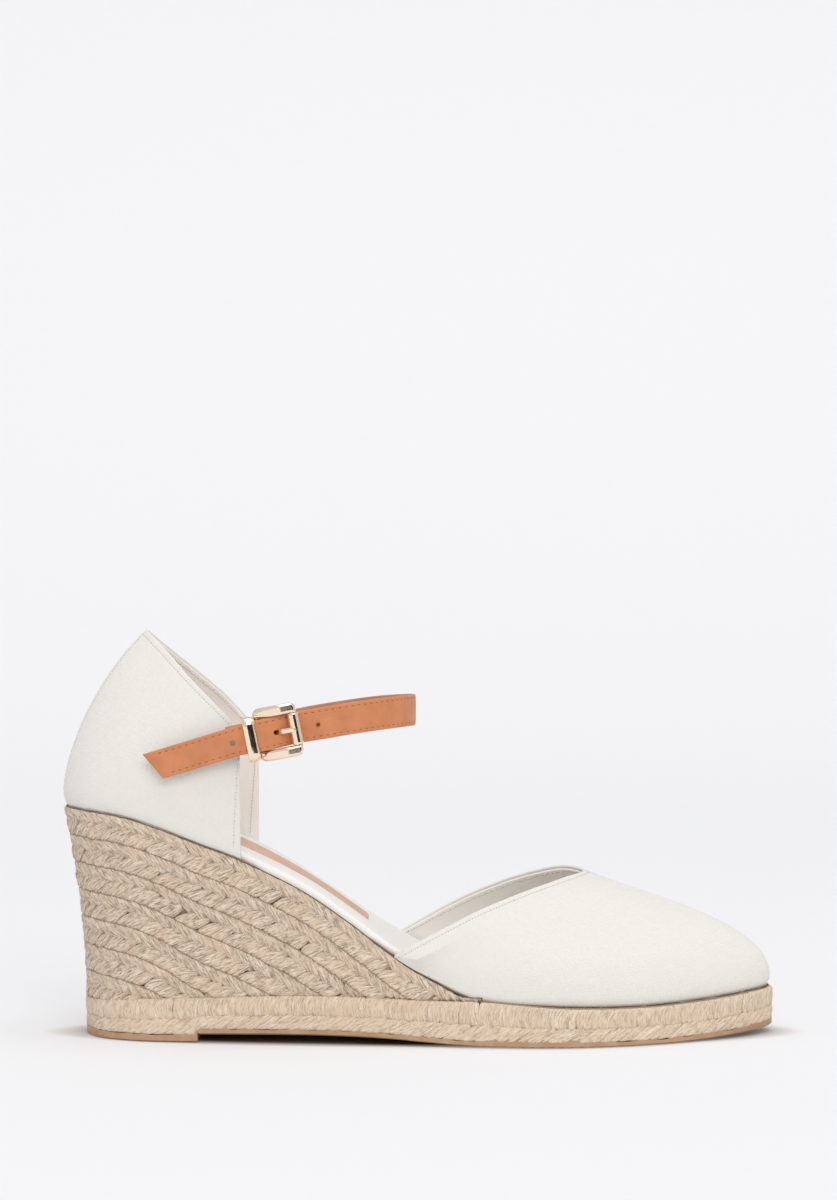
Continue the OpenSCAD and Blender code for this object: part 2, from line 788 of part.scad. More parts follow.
// Closed metal loop that holds the free end down beside the buckle.
module strap_keeper() {
    half = buckle_gap / 2;
    inside = hinge_d / 2 + 0.05 + TAB_T + 0.2;
    color("#e3cfa4")
    in_buckle()
    translate([KEEPER_SPAN[0], 0, -KEEPER_DROP])
    rotate([90, 0, 90])
    linear_extrude(KEEPER_SPAN[1] - KEEPER_SPAN[0])
    difference() {
        translate([-KEEPER_OUT - KEEPER_WALL, -half - KEEPER_END])
        square([KEEPER_OUT + inside + KEEPER_WALL + KEEPER_BACK, 2 * (half + KEEPER_END)]);
        translate([-KEEPER_OUT, -half])
        square([KEEPER_OUT + inside, 2 * half]);
    }
}

// Side bar's profile: low over the hinge bar, raised towards the roller.
SIDE_BAR = [
    [-1.3, 1.1], [-1.3, -1.6], [0, -2.9], [2, -3.6], [9, -5.1], [12.3, -5.1], [13.2, -4.2],
    [13.2, -2.4], [12.3, -1.9], [9, -1.9], [2, 0.6], [1, 1.1]
];

module buckle_frame() {
    half = buckle_gap / 2;
    color("#e3cfa4")
    in_buckle() {
        for (low = [-half - side_bar_w, half])
            across_strap(low, low + side_bar_w)
            polygon(SIDE_BAR);
        across_strap(-half - 0.01, half + 0.01)
        circle(d = hinge_d, $fn = ROUND);
        translate([ROLLER_AT[0], ROLLER_AT[1], 0])
        across_strap(-half - 0.01, half + 0.01)
        circle(d = ROLLER_BAR_D, $fn = ROUND);
    }
}

ROLLER_BAR_D = 2.5;
module buckle_roller() {
    half = buckle_gap / 2 - 0.15;
    color("#ead9b4")
    in_buckle()
    translate([ROLLER_AT[0], ROLLER_AT[1], 0])
    across_strap(-half, half)
    difference() {
        circle(d = roller_d, $fn = ROUND);
        circle(d = ROLLER_BAR_D + 2 * running_gap, $fn = ROUND);
    }
}

// Prong: a ring on the hinge bar and an arm that comes up through the strap to the roller.
PRONG_ARM = [
    [1.4, 0.6], [5.3, 0.15], [6.1, -0.4], [7.5, -2.6], [10.2, -5.4], [11.6, -5.65], [12.5, -5.65],
    [12.5, -6.4], [11.6, -6.7], [10, -6.5], [6.8, -3.4], [5.6, -1], [4.9, -0.85], [1.4, -0.7]
];
module buckle_prong() {
    color("#ead9b4")
    in_buckle() {
        difference() {
            union() {
                across_strap(-1.1, 1.1)
                circle(r = hinge_d / 2 + running_gap + 0.75, $fn = ROUND);
                across_strap(-0.8, 0.8)
                polygon(PRONG_ARM);
            }
            across_strap(-2, 2)
            circle(r = hinge_d / 2 + running_gap, $fn = ROUND);
        }
    }
}

// ---------- Assembly ----------

heel_pad();
outsole();
midsole_core();
rope_welt_lower();
rope_welt_upper();
wedge_core();
wedge_braid(1);  // wedge_braid_1
wedge_braid(2);  // wedge_braid_2
wedge_braid(3);  // wedge_braid_3
wedge_braid(4);  // wedge_braid_4
wedge_braid(5);  // wedge_braid_5
wedge_braid(6);  // wedge_braid_6
wedge_braid(7);  // wedge_braid_7
shank();
insole_board();
insole_foam();
insole_cover();
heel_sock();
vamp_canvas();
toe_puff();
vamp_lining();
quarter_outer_side();
quarter_inner_side();
heel_counter();
quarter_lining();
buckle_tab();
ankle_strap();
strap_lining();
strap_keeper();
buckle_frame();
buckle_prong();
buckle_roller();
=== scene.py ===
"""Looks of a canvas wedge sandal with a jute-braided wedge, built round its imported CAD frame.

The frame is the CAD model's: +X towards the toe, +Y towards the inner side of the foot, +Z up.
Shapes are worked out in millimetres and become metres when a mesh is made.
"""

import sys
import logging
import math
from dataclasses import dataclass, field
from enum import Enum
from typing import Any, Optional, Sequence

import bpy
import numpy as np
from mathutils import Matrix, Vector


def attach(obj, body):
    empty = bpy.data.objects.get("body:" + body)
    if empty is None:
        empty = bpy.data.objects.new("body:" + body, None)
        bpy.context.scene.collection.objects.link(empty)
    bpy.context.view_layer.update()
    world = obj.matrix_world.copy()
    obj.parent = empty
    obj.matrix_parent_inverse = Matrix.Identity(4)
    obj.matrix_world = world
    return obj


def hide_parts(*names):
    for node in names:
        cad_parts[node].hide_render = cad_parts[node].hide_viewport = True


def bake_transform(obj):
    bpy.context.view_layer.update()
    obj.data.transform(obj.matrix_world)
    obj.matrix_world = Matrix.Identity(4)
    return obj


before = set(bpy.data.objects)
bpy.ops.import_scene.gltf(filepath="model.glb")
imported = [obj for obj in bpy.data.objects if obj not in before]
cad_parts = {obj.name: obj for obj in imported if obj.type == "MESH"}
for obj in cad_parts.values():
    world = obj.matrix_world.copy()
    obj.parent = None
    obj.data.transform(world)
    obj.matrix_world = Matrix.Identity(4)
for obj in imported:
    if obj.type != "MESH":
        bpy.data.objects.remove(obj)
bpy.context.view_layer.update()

MM = 0.001
UV_PER_MM = 0.01
# Depth that strands sink by at an open end of a band, and how far from the end that starts.
END_SINK = 1.5
END_RUN = 4.0
LOG = logging.getLogger("wedge_sandal")


class Side(Enum):
    """Side of the foot that a part is on, as the sign of its Y."""

    OUTER = -1
    INNER = 1

    @property
    def other(self) -> "Side":
        """The opposite side."""
        return Side(-self.value)


class Edge(Enum):
    """The two edges that run round the whole shoe."""

    FEATHER = "feather"
    WELT = "welt"


class Body(Enum):
    """Bodies of the frame that pieces ride on."""

    SHOE = "shoe"
    STRAP = "strap_loop"
    PRONG = "prong"
    ROLLER = "roller"


# ---------------------------------------------------------------- curves and meshes


def through(points: np.ndarray, t: np.ndarray) -> np.ndarray:
    """Catmull-Rom curve through a list of points, whose first and last are only guides.

    Args:
        points: Guided list, one row per point.
        t: Places on the curve, counted in points from the second one.

    Returns:
        Points of the curve, with the shape of t and one more axis.
    """
    t = np.asarray(t, float)
    i = np.clip(np.floor(t), 0, len(points) - 4).astype(int)
    f = (t - i)[..., None]
    a, b, c, d = (points[i + k] for k in range(4))
    return 0.5 * (
        2 * b + (c - a) * f + (2 * a - 5 * b + 4 * c - d) * f**2 + (3 * b - a - 3 * c + d) * f**3
    )


def guided(points: np.ndarray, after: Optional[np.ndarray] = None) -> np.ndarray:
    """Adds guide points to an open list.

    Args:
        points: The list.
        after: Guide past its end, or None to carry the list straight on.

    Returns:
        The list with a guide before and after it.
    """
    last = 2 * points[-1] - points[-2] if after is None else after
    return np.vstack([2 * points[0] - points[1], points, last])


def unit(v: np.ndarray) -> np.ndarray:
    """Vectors of length 1 along the last axis."""
    return v / np.maximum(np.linalg.norm(v, axis=-1, keepdims=True), 1e-9)


def rise(v: np.ndarray, low: float, high: float) -> np.ndarray:
    """Smooth rise from 0 at low to 1 at high."""
    f = np.clip((v - low) / (high - low), 0, 1)
    return f * f * (3 - 2 * f)


def lengths(points: np.ndarray) -> np.ndarray:
    """Length along a line of points, from 0 at its first."""
    steps = np.linalg.norm(np.diff(points, axis=0), axis=1)
    return np.concatenate([[0.0], np.cumsum(steps)])


def normals_of(grid: np.ndarray, sign: float) -> np.ndarray:
    """Unit normals of a grid of points.

    Args:
        grid: Points, as columns by rows by 3.
        sign: 1 or -1, whichever points them outwards.

    Returns:
        One normal per point.
    """
    return sign * unit(np.cross(np.gradient(grid, axis=0), np.gradient(grid, axis=1)))


def edge_round(distance: np.ndarray, radius: float) -> np.ndarray:
    """Share of the full half thickness that a rounded edge has at a distance from its end."""
    f = 1 - np.clip(distance / radius, 0, 1)
    return np.sqrt(np.clip(1 - f * f, 0.0016, 1))


@dataclass
class Parts:
    """Points, four-sided faces and face-corner UVs that are gathered into one mesh."""

    points: list[np.ndarray] = field(default_factory=list)
    faces: list[np.ndarray] = field(default_factory=list)
    uvs: list[np.ndarray] = field(default_factory=list)
    marks: list[np.ndarray] = field(default_factory=list)
    count: int = 0

    def add(self, points: np.ndarray, faces: np.ndarray, uvs: np.ndarray, mark: int = 0) -> None:
        """Adds a set of faces.

        Args:
            points: Points in millimetres.
            faces: Four indices of points per face.
            uvs: Four pairs per face, in millimetres.
            mark: Index of the material for these faces.
        """
        self.points.append(points.reshape(-1, 3))
        self.faces.append(faces + self.count)
        self.uvs.append(uvs)
        self.marks.append(np.full(len(faces), mark))
        self.count += len(self.points[-1])

    def add_tubes(self, rings: np.ndarray, closed: bool = False, mark: int = 0,
                  shift: Optional[np.ndarray] = None) -> None:
        """Adds tubes, each a run of rings of points.

        Args:
            rings: Points, as tubes by rings by points by 3.
            closed: Whether each tube closes on itself. An open one gets a cap at both ends.
            mark: Index of the material for these faces.
            shift: UV shift of each tube, in millimetres.
        """
        count, runs, around = rings.shape[:3]
        along = np.concatenate([rings, rings[:, :1]], axis=1) if closed else rings
        looped = np.concatenate([along, along[:, :, :1]], axis=2)
        steps_u = np.linalg.norm(np.diff(looped, axis=1), axis=3).mean(axis=2)
        u = np.concatenate([np.zeros((count, 1)), np.cumsum(steps_u, axis=1)], axis=1)
        steps_v = np.linalg.norm(np.diff(looped, axis=2), axis=3).mean(axis=1)
        v = np.concatenate([np.zeros((count, 1)), np.cumsum(steps_v, axis=1)], axis=1)
        if shift is not None:
            u = u + shift[:, :1]
            v = v + shift[:, 1:]
        c, i, k = np.meshgrid(
            np.arange(count), np.arange(runs if closed else runs - 1), np.arange(around),
            indexing="ij",
        )
        c, i, k = c.ravel(), i.ravel(), k.ravel()
        corners = [(i, k), (i, k + 1), (i + 1, k + 1), (i + 1, k)]
        faces = np.stack(
            [(c * runs + ci % runs) * around + ck % around for ci, ck in corners], axis=1
        )
        uvs = np.stack([np.stack([u[c, ci], v[c, ck]], axis=1) for ci, ck in corners], axis=1)
        tube = c
        if not closed:
            k = np.arange(around // 2 - 1)
            pair = np.stack([k, k + 1, around - 2 - k, around - 1 - k], axis=1)
            start = np.arange(count)[:, None, None] * runs * around
            first = (start + pair[:, ::-1]).reshape(-1, 4)
            last = (start + (runs - 1) * around + pair).reshape(-1, 4)
            owner = np.repeat(np.arange(count), len(pair))
            tube = np.concatenate([tube, owner, owner])
            faces = np.concatenate([faces, first, last])
            uvs = np.concatenate([uvs, np.zeros((2 * len(first), 4, 2))])
        turned = (self.volumes(rings, faces, tube) < 0)[tube]
        faces[turned] = faces[turned][:, ::-1]
        uvs[turned] = uvs[turned][:, ::-1]
        self.add(rings, faces, uvs, mark)

    def add_slab(self, front: np.ndarray, back: np.ndarray, closed: bool = False, mark: int = 0
                 ) -> None:
        """Adds the solid between two faces, each a grid of points of the same size."""
        self.add_tubes(np.concatenate([front, back[:, ::-1]], axis=1)[None], closed, mark)

    @staticmethod
    def volumes(rings: np.ndarray, faces: np.ndarray, tube: np.ndarray) -> np.ndarray:
        """Volume of each tube, times 6. It is negative where the faces look inwards.

        Args:
            rings: Points of the tubes.
            faces: Four indices of points per face.
            tube: Index of the tube that each face belongs to.

        Returns:
            One number per tube.
        """
        a, b, c, d = (rings.reshape(-1, 3)[faces[:, k]] for k in range(4))
        part = np.einsum("ij,ij->i", a, np.cross(b, c)) + np.einsum("ij,ij->i", a, np.cross(c, d))
        return np.bincount(tube, part, len(rings))

    def mesh(self, name: str, finishes: Sequence[bpy.types.Material], sharp: float = 180.0
             ) -> bpy.types.Object:
        """Makes the Blender object.

        Args:
            name: Name of the piece.
            finishes: Materials, in the order of the marks.
            sharp: Angle in degrees above which an edge stays sharp.

        Returns:
            The object, linked to the scene.
        """
        points = np.concatenate(self.points) * MM
        faces = np.concatenate(self.faces).astype(np.int32)
        uvs = np.concatenate([u.reshape(-1, 4, 2) for u in self.uvs]) * UV_PER_MM
        marks = np.concatenate(self.marks).astype(np.int32)
        data = bpy.data.meshes.new(name)
        data.vertices.add(len(points))
        data.vertices.foreach_set("co", points.astype(np.float32).ravel())
        data.loops.add(faces.size)
        data.loops.foreach_set("vertex_index", np.ascontiguousarray(faces).ravel())
        data.polygons.add(len(faces))
        data.polygons.foreach_set("loop_start", np.arange(0, faces.size, 4, dtype=np.int32))
        data.polygons.foreach_set("material_index", marks)
        data.uv_layers.new(name="UVMap")
        data.uv_layers[0].data.foreach_set("uv", np.ascontiguousarray(uvs, np.float32).ravel())
        data.update(calc_edges=True)
        data.validate()
        data.polygons.foreach_set("use_smooth", np.ones(len(data.polygons), bool))
        if sharp < 180:
            data.set_sharp_from_angle(angle=math.radians(sharp))
        for finish in finishes:
            data.materials.append(finish)
        piece = bpy.data.objects.new(name, data)
        bpy.context.scene.collection.objects.link(piece)
        return piece


def shell(parts: Parts, face: np.ndarray, normals: np.ndarray, outer: np.ndarray,
          inner: np.ndarray, closed: bool = False, mark: int = 0) -> None:
    """Adds a sheet with thickness that follows a grid of points.

    Args:
        parts: Where the faces go.
        face: Points, as columns by rows by 3.
        normals: Outward unit normals of those points.
        outer: Depth of the sheet's outer face under each point.
        inner: Depth of its inner face.
        closed: Whether the columns close on themselves.
        mark: Index of the material.
    """
    front = face - normals * outer[..., None]
    back = face - normals * inner[..., None]
    parts.add_slab(front, back, closed, mark)


def resample(line: np.ndarray, distances: np.ndarray) -> np.ndarray:
    """Points of a line at given distances from its first point."""
    run = lengths(line)
    return np.stack([np.interp(distances, run, line[:, k]) for k in range(3)], axis=1)


def place_piece(piece: bpy.types.Object, body: Body, nodes: Sequence[str] = ()) -> None:
    """Makes a piece ride on its body and reports it.

    Args:
        piece: The piece.
        body: Body that it moves with.
        nodes: CAD nodes that it stands for.
    """
    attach(piece, body.value)
    if nodes:
        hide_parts(*nodes)
    LOG.info("%s: %d faces, rides on %s", piece.name, len(piece.data.polygons), body.value)


# ---------------------------------------------------------------- shader maths


class Value:
    """A number that varies over a surface, held as a socket. Arithmetic adds Math nodes."""

    def __init__(self, graph: "Graph", socket: bpy.types.NodeSocket) -> None:
        """Keeps the graph and the socket."""
        self.graph = graph
        self.socket = socket

    def _math(self, operation: str, *values: Any, clamp: bool = False) -> "Value":
        """Adds a Math node.

        Args:
            operation: Its operation.
            values: Its inputs, as Values or numbers.
            clamp: Whether the result is held between 0 and 1.

        Returns:
            The node's result.
        """
        inputs = dict(enumerate(values))
        node = self.graph.node("ShaderNodeMath", {"operation": operation, "use_clamp": clamp}, inputs)
        return Value(self.graph, node.outputs[0])

    def __add__(self, other: Any) -> "Value":
        """Sum."""
        return self._math("ADD", self, other)

    def __radd__(self, other: Any) -> "Value":
        """Sum, reflected."""
        return self._math("ADD", other, self)

    def __sub__(self, other: Any) -> "Value":
        """Difference."""
        return self._math("SUBTRACT", self, other)

    def __rsub__(self, other: Any) -> "Value":
        """Difference, reflected."""
        return self._math("SUBTRACT", other, self)

    def __mul__(self, other: Any) -> "Value":
        """Product."""
        return self._math("MULTIPLY", self, other)

    def __rmul__(self, other: Any) -> "Value":
        """Product, reflected."""
        return self._math("MULTIPLY", other, self)

    def __truediv__(self, other: Any) -> "Value":
        """Quotient."""
        return self._math("DIVIDE", self, other)

    def __rtruediv__(self, other: Any) -> "Value":
        """Quotient, reflected."""
        return self._math("DIVIDE", other, self)

    def __abs__(self) -> "Value":
        """Size without its sign."""
        return self._math("ABSOLUTE", self)

    def sine(self) -> "Value":
        """Sine of an angle in radians."""
        return self._math("SINE", self)

    def clamped(self) -> "Value":
        """The value held between 0 and 1."""
        return self._math("ADD", self, 0.0, clamp=True)

    def rising(self, low: float, high: float) -> "Value":
        """Straight rise from 0 at low to 1 at high, held between them."""
        return ((self - low) / (high - low)).clamped()


class Graph:
    """Node tree of one material, with its main shader."""

    def __init__(self, name: str) -> None:
        """Makes the material and its Principled shader."""
        self.material = bpy.data.materials.new(name)
        self.material.use_nodes = True
        self.tree = self.material.node_tree
        self.tree.nodes.clear()
        self.shader = self.node("ShaderNodeBsdfPrincipled")
        output = self.node("ShaderNodeOutputMaterial")
        self.tree.links.new(self.shader.outputs[0], output.inputs["Surface"])

    def node(self, kind: str, settings: Optional[dict[str, Any]] = None,
             inputs: Optional[dict[Any, Any]] = None) -> bpy.types.Node:
        """Adds a node.

        Args:
            kind: Its type.
            settings: Its properties, which are set first.
            inputs: Values or links of its sockets, by name or number.

        Returns:
            The node.
        """
        made = self.tree.nodes.new(kind)
        for key, value in (settings or {}).items():
            setattr(made, key, value)
        for key, value in (inputs or {}).items():
            self.feed(made.inputs[key], value)
        return made

    def feed(self, socket: bpy.types.NodeSocket, value: Any) -> None:
        """Links a Value or a socket to an input, or sets a plain value on it."""
        if isinstance(value, Value):
            self.tree.links.new(value.socket, socket)
        elif isinstance(value, bpy.types.NodeSocket):
            self.tree.links.new(value, socket)
        else:
            socket.default_value = value

    def set(self, **values: Any) -> None:
        """Feeds the main shader's inputs, named with _ for a space."""
        for key, value in values.items():
            self.feed(self.shader.inputs[key.replace("_", " ")], value)

    def cloth_place(self, u_scale: float, v_scale: float) -> bpy.types.NodeSocket:
        """UV place, scaled along and across a strand or a cloth, in repeats per millimetre."""
        place = self.node("ShaderNodeTexCoord").outputs["UV"]
        scale = (u_scale / UV_PER_MM, v_scale / UV_PER_MM, 1)
        return self.node(
            "ShaderNodeVectorMath", {"operation": "MULTIPLY"}, {0: place, 1: scale}
        ).outputs[0]

    def solid_place(self, scale: float) -> bpy.types.NodeSocket:
        """Place in the object, in repeats per millimetre."""
        place = self.node("ShaderNodeTexCoord").outputs["Object"]
        factor = scale / MM
        return self.node(
            "ShaderNodeVectorMath", {"operation": "MULTIPLY"}, {0: place, 1: (factor,) * 3}
        ).outputs[0]

    def noise(self, place: bpy.types.NodeSocket, detail: float = 2.0, rough: float = 0.5) -> Value:
        """Noise from 0 to 1 at a place that is already scaled."""
        made = self.node(
            "ShaderNodeTexNoise", {}, {"Vector": place, "Scale": 1.0, "Detail": detail,
                                       "Roughness": rough}
        )
        return Value(self, made.outputs[0])

    def cells(self, place: bpy.types.NodeSocket) -> Value:
        """Distance to the nearest cell centre at a place that is already scaled."""
        made = self.node("ShaderNodeTexVoronoi", {}, {"Vector": place, "Scale": 1.0})
        return Value(self, made.outputs["Distance"])

    def axes(self, place: bpy.types.NodeSocket) -> tuple[Value, Value]:
        """The first two numbers of a vector."""
        made = self.node("ShaderNodeSeparateXYZ", {}, {0: place})
        return Value(self, made.outputs[0]), Value(self, made.outputs[1])

    def blend(self, factor: Any, first: Any, second: Any) -> bpy.types.NodeSocket:
        """Mixes two colours.

        Args:
            factor: Share of the second.
            first: First colour.
            second: Second colour.

        Returns:
            The mixed colour.
        """
        made = self.node("ShaderNodeMix", {"data_type": "RGBA"},
                         {0: factor, 6: tint(first), 7: tint(second)})
        return made.outputs[2]

    def bump(self, height: Value, distance: float) -> None:
        """Feeds the shader's Normal with a bump, of a height in millimetres."""
        made = self.node("ShaderNodeBump", {}, {"Height": height, "Distance": distance * MM,
                                                "Strength": 1.0})
        self.feed(self.shader.inputs["Normal"], made.outputs[0])


def tint(colour: Any) -> Any:
    """A colour of three numbers with a fourth one for its opacity. Sockets pass unchanged."""
    return (*colour, 1.0) if isinstance(colour, tuple) and len(colour) == 3 else colour


Colour = tuple[float, float, float]


@dataclass(frozen=True)
class Finish:
    """Base of all finishes."""

    name: str

    def dress(self, graph: Graph) -> None:
        """Feeds the shader. Each finish has its own."""
        raise NotImplementedError

    def made(self) -> bpy.types.Material:
        """The material, made on first use."""
        found = bpy.data.materials.get(self.name)
        if found is not None:
            return found
        graph = Graph(self.name)
        self.dress(graph)
        return graph.material


@dataclass(frozen=True)
class JuteFinish(Finish):
    """Dry plant fibre: fine streaks along each strand, lighter and darker fibres, no gloss."""

    light: Colour = (0.80, 0.665, 0.51)
    dark: Colour = (0.30, 0.21, 0.135)
    warm: Colour = (0.80, 0.60, 0.44)
    streaks_per_mm: float = 2.2
    relief: float = 0.5

    def dress(self, graph: Graph) -> None:
        """Streaks from stretched noise, patches from noise in the object."""
        fine = graph.noise(graph.cloth_place(0.3, self.streaks_per_mm), 3.0, 0.75)
        broad = graph.noise(graph.cloth_place(0.07, 0.7), 2.0)
        patch = graph.noise(graph.solid_place(0.13), 2.0)
        shade = fine.rising(0.36, 0.54)
        colour = graph.blend(shade, self.dark, self.light)
        colour = graph.blend(patch.rising(0.42, 0.66) * 0.4, colour, self.warm)
        pale = (fine * broad).rising(0.27, 0.38) * 0.6
        colour = graph.blend(pale, colour, (0.93, 0.83, 0.70))
        graph.set(Base_Color=colour, Roughness=0.82, Specular_IOR_Level=0.22,
                  Sheen_Weight=0.12, Sheen_Roughness=0.6)
        graph.bump(fine + broad * 0.6, self.relief)


@dataclass(frozen=True)
class CanvasFinish(Finish):
    """Plain weave of slubby cotton yarns."""

    base: Colour = (0.86, 0.84, 0.795)
    shade: Colour = (0.75, 0.725, 0.67)
    threads_per_mm: float = 1.9
    relief: float = 0.09
    roughness: float = 0.86

    def dress(self, graph: Graph) -> None:
        """Over-and-under weave from two sines, with thicker yarns here and there."""
        half_turns = math.pi * self.threads_per_mm
        u, v = graph.axes(graph.cloth_place(half_turns, half_turns))
        slub_u = graph.noise(graph.cloth_place(0.25, 1.6), 3.0, 0.7)
        slub_v = graph.noise(graph.cloth_place(1.6, 0.25), 3.0, 0.7)
        over = ((u.sine() * v.sine()) * 2.0 + 0.5).clamped()
        yarn = over * abs(u.sine()) + (1.0 - over) * abs(v.sine())
        slubs = slub_u + slub_v
        depth = (yarn * 0.55 + slubs.rising(0.7, 1.3) * 0.45).clamped()
        colour = graph.blend(depth, self.shade, self.base)
        graph.set(Base_Color=colour, Roughness=self.roughness, Specular_IOR_Level=0.25,
                  Sheen_Weight=0.1, Sheen_Roughness=0.5)
        graph.bump(yarn * 0.6 + slubs, self.relief)


@dataclass(frozen=True)
class LeatherFinish(Finish):
    """Smooth leather with a fine pebble grain and a slight gloss."""

    base: Colour = (0.70, 0.262, 0.110)
    deep: Colour = (0.54, 0.196, 0.080)
    grain_per_mm: float = 2.4
    relief: float = 0.04
    gloss: float = 0.42

    def dress(self, graph: Graph) -> None:
        """Grain cells, long soft creases and cloudy colour."""
        grain = graph.cells(graph.solid_place(self.grain_per_mm))
        crease = graph.noise(graph.cloth_place(0.9, 0.22), 3.0)
        cloud = graph.noise(graph.solid_place(0.16), 3.0)
        colour = graph.blend(cloud.rising(0.35, 0.72) * 0.8, self.base, self.deep)
        colour = graph.blend(grain.rising(0.25, 0.6) * 0.25, colour, self.deep)
        rough = self.gloss + cloud * 0.16
        graph.set(Base_Color=colour, Roughness=rough, Specular_IOR_Level=0.4)
        graph.bump(crease * 0.6 - grain, self.relief)


@dataclass(frozen=True)
class RubberFinish(Finish):
    """Moulded rubber, matt and slightly dusty."""

    base: Colour = (0.45, 0.275, 0.16)
    dust: Colour = (0.56, 0.40, 0.275)

    def dress(self, graph: Graph) -> None:
        """Fine moulding grain with dusty patches."""
        patch = graph.noise(graph.solid_place(0.25), 4.0, 0.6)
        grain = graph.noise(graph.solid_place(3.0), 2.0)
        colour = graph.blend(patch.rising(0.4, 0.75) * 0.7, self.base, self.dust)
        graph.set(Base_Color=colour, Roughness=0.6 + patch * 0.2, Specular_IOR_Level=0.35)
        graph.bump(grain + patch, 0.05)


@dataclass(frozen=True)
class MetalFinish(Finish):
    """Plated or plain metal with faint wiping marks."""

    base: Colour = (0.98, 0.80, 0.63)
    gloss: float = 0.08
    marks: float = 0.06

    def dress(self, graph: Graph) -> None:
        """Roughness varies a little, so that reflections aren't perfect."""
        wipe = graph.noise(graph.solid_place(0.7), 4.0, 0.6)
        colour = graph.blend(wipe.rising(0.4, 0.8) * 0.25, self.base,
                             tuple(0.86 * c for c in self.base))
        graph.set(Base_Color=colour, Metallic=1.0, Roughness=wipe * self.marks + self.gloss)
        graph.bump(wipe, 0.01)


@dataclass(frozen=True)
class MattFinish(Finish):
    """Plain dull stuff with a fine grain: foam, board, thread, stiffener, the dark feather line, and
    the painted-shade backing and needle holes.
    """

    base: Colour
    deep: Colour
    grain_per_mm: float = 1.2
    relief: float = 0.08
    roughness: float = 0.85

    def dress(self, graph: Graph) -> None:
        """Two tones of noise."""
        grain = graph.noise(graph.solid_place(self.grain_per_mm), 4.0, 0.6)
        colour = graph.blend(grain.rising(0.35, 0.7), self.deep, self.base)
        graph.set(Base_Color=colour, Roughness=self.roughness, Specular_IOR_Level=0.25)
        graph.bump(grain, self.relief)


JUTE = JuteFinish("jute_strands")
WELT_JUTE = JuteFinish("jute_welt", light=(0.83, 0.68, 0.52), dark=(0.52, 0.385, 0.265),
                       warm=(0.84, 0.64, 0.47))
# Dark colours of painted shade: the backing sheet in the gaps between strands and the twine between
# braid rows.
JUTE_SHADOW = MattFinish("jute_backing_shade", (0.46, 0.335, 0.225), (0.32, 0.225, 0.145), 1.5)
CANVAS = CanvasFinish("cotton_canvas")
INSOLE_CANVAS = CanvasFinish("insole_cloth", base=(0.93, 0.915, 0.88), shade=(0.85, 0.83, 0.79),
                             relief=0.04)
LINING = CanvasFinish("textile_lining", base=(0.96, 0.92, 0.87), shade=(0.91, 0.86, 0.81),
                      threads_per_mm=2.6, relief=0.02, roughness=0.8)
STRAP_LEATHER = LeatherFinish("tan_strap_leather")
# Colours darkened with painted shade, for the strap's inside, which is seen in shadow.
SHADED_LINING_LEATHER = LeatherFinish("shaded_lining_leather", base=(0.52, 0.26, 0.17), deep=(0.44, 0.20, 0.12),
                               gloss=0.5)
SOCK_LEATHER = LeatherFinish("pale_sock_leather", base=(0.71, 0.46, 0.34), deep=(0.61, 0.37, 0.26),
                             gloss=0.45)
RUBBER = RubberFinish("tan_rubber")
GOLD = MetalFinish("pale_gold")
STEEL = MetalFinish("spring_steel", (0.56, 0.57, 0.58), 0.3, 0.2)
THREAD = MattFinish("cotton_thread", (0.83, 0.80, 0.74), (0.66, 0.62, 0.55), 3.0)
TAN_THREAD = MattFinish("tan_thread", (0.33, 0.13, 0.055), (0.24, 0.09, 0.04), 3.0, 0.05, 0.6)
# Needle-hole plugs: dark colours of painted shade in the holes between stitches and at the bottom of
# the strap's blind hole.
HOLE_SHADE = MattFinish("needle_hole_shade", (0.42, 0.39, 0.35), (0.34, 0.31, 0.27), 3.0)
STRAP_HOLE_SHADE = MattFinish("strap_hole_shade", (0.17, 0.06, 0.025), (0.12, 0.04, 0.02), 3.0)
# Thin dark line along the feather edge, where canvas meets jute.
FEATHER_LINE = MattFinish("dark_feather_line", (0.27, 0.185, 0.12), (0.16, 0.10, 0.06), 1.0, 0.05, 0.6)
CORE = MattFinish("moulded_core", (0.66, 0.56, 0.42), (0.56, 0.46, 0.33), 1.0)
BOARD = MattFinish("cellulose_board", (0.50, 0.38, 0.26), (0.40, 0.30, 0.20), 1.5)
STIFFENER = MattFinish("stiffener_sheet", (0.72, 0.66, 0.56), (0.64, 0.58, 0.48), 1.5)


# ---------------------------------------------------------------- shape of the shoe


def rows(*values: Sequence[float]) -> np.ndarray:
    """Points as an array."""
    return np.array(values, float)


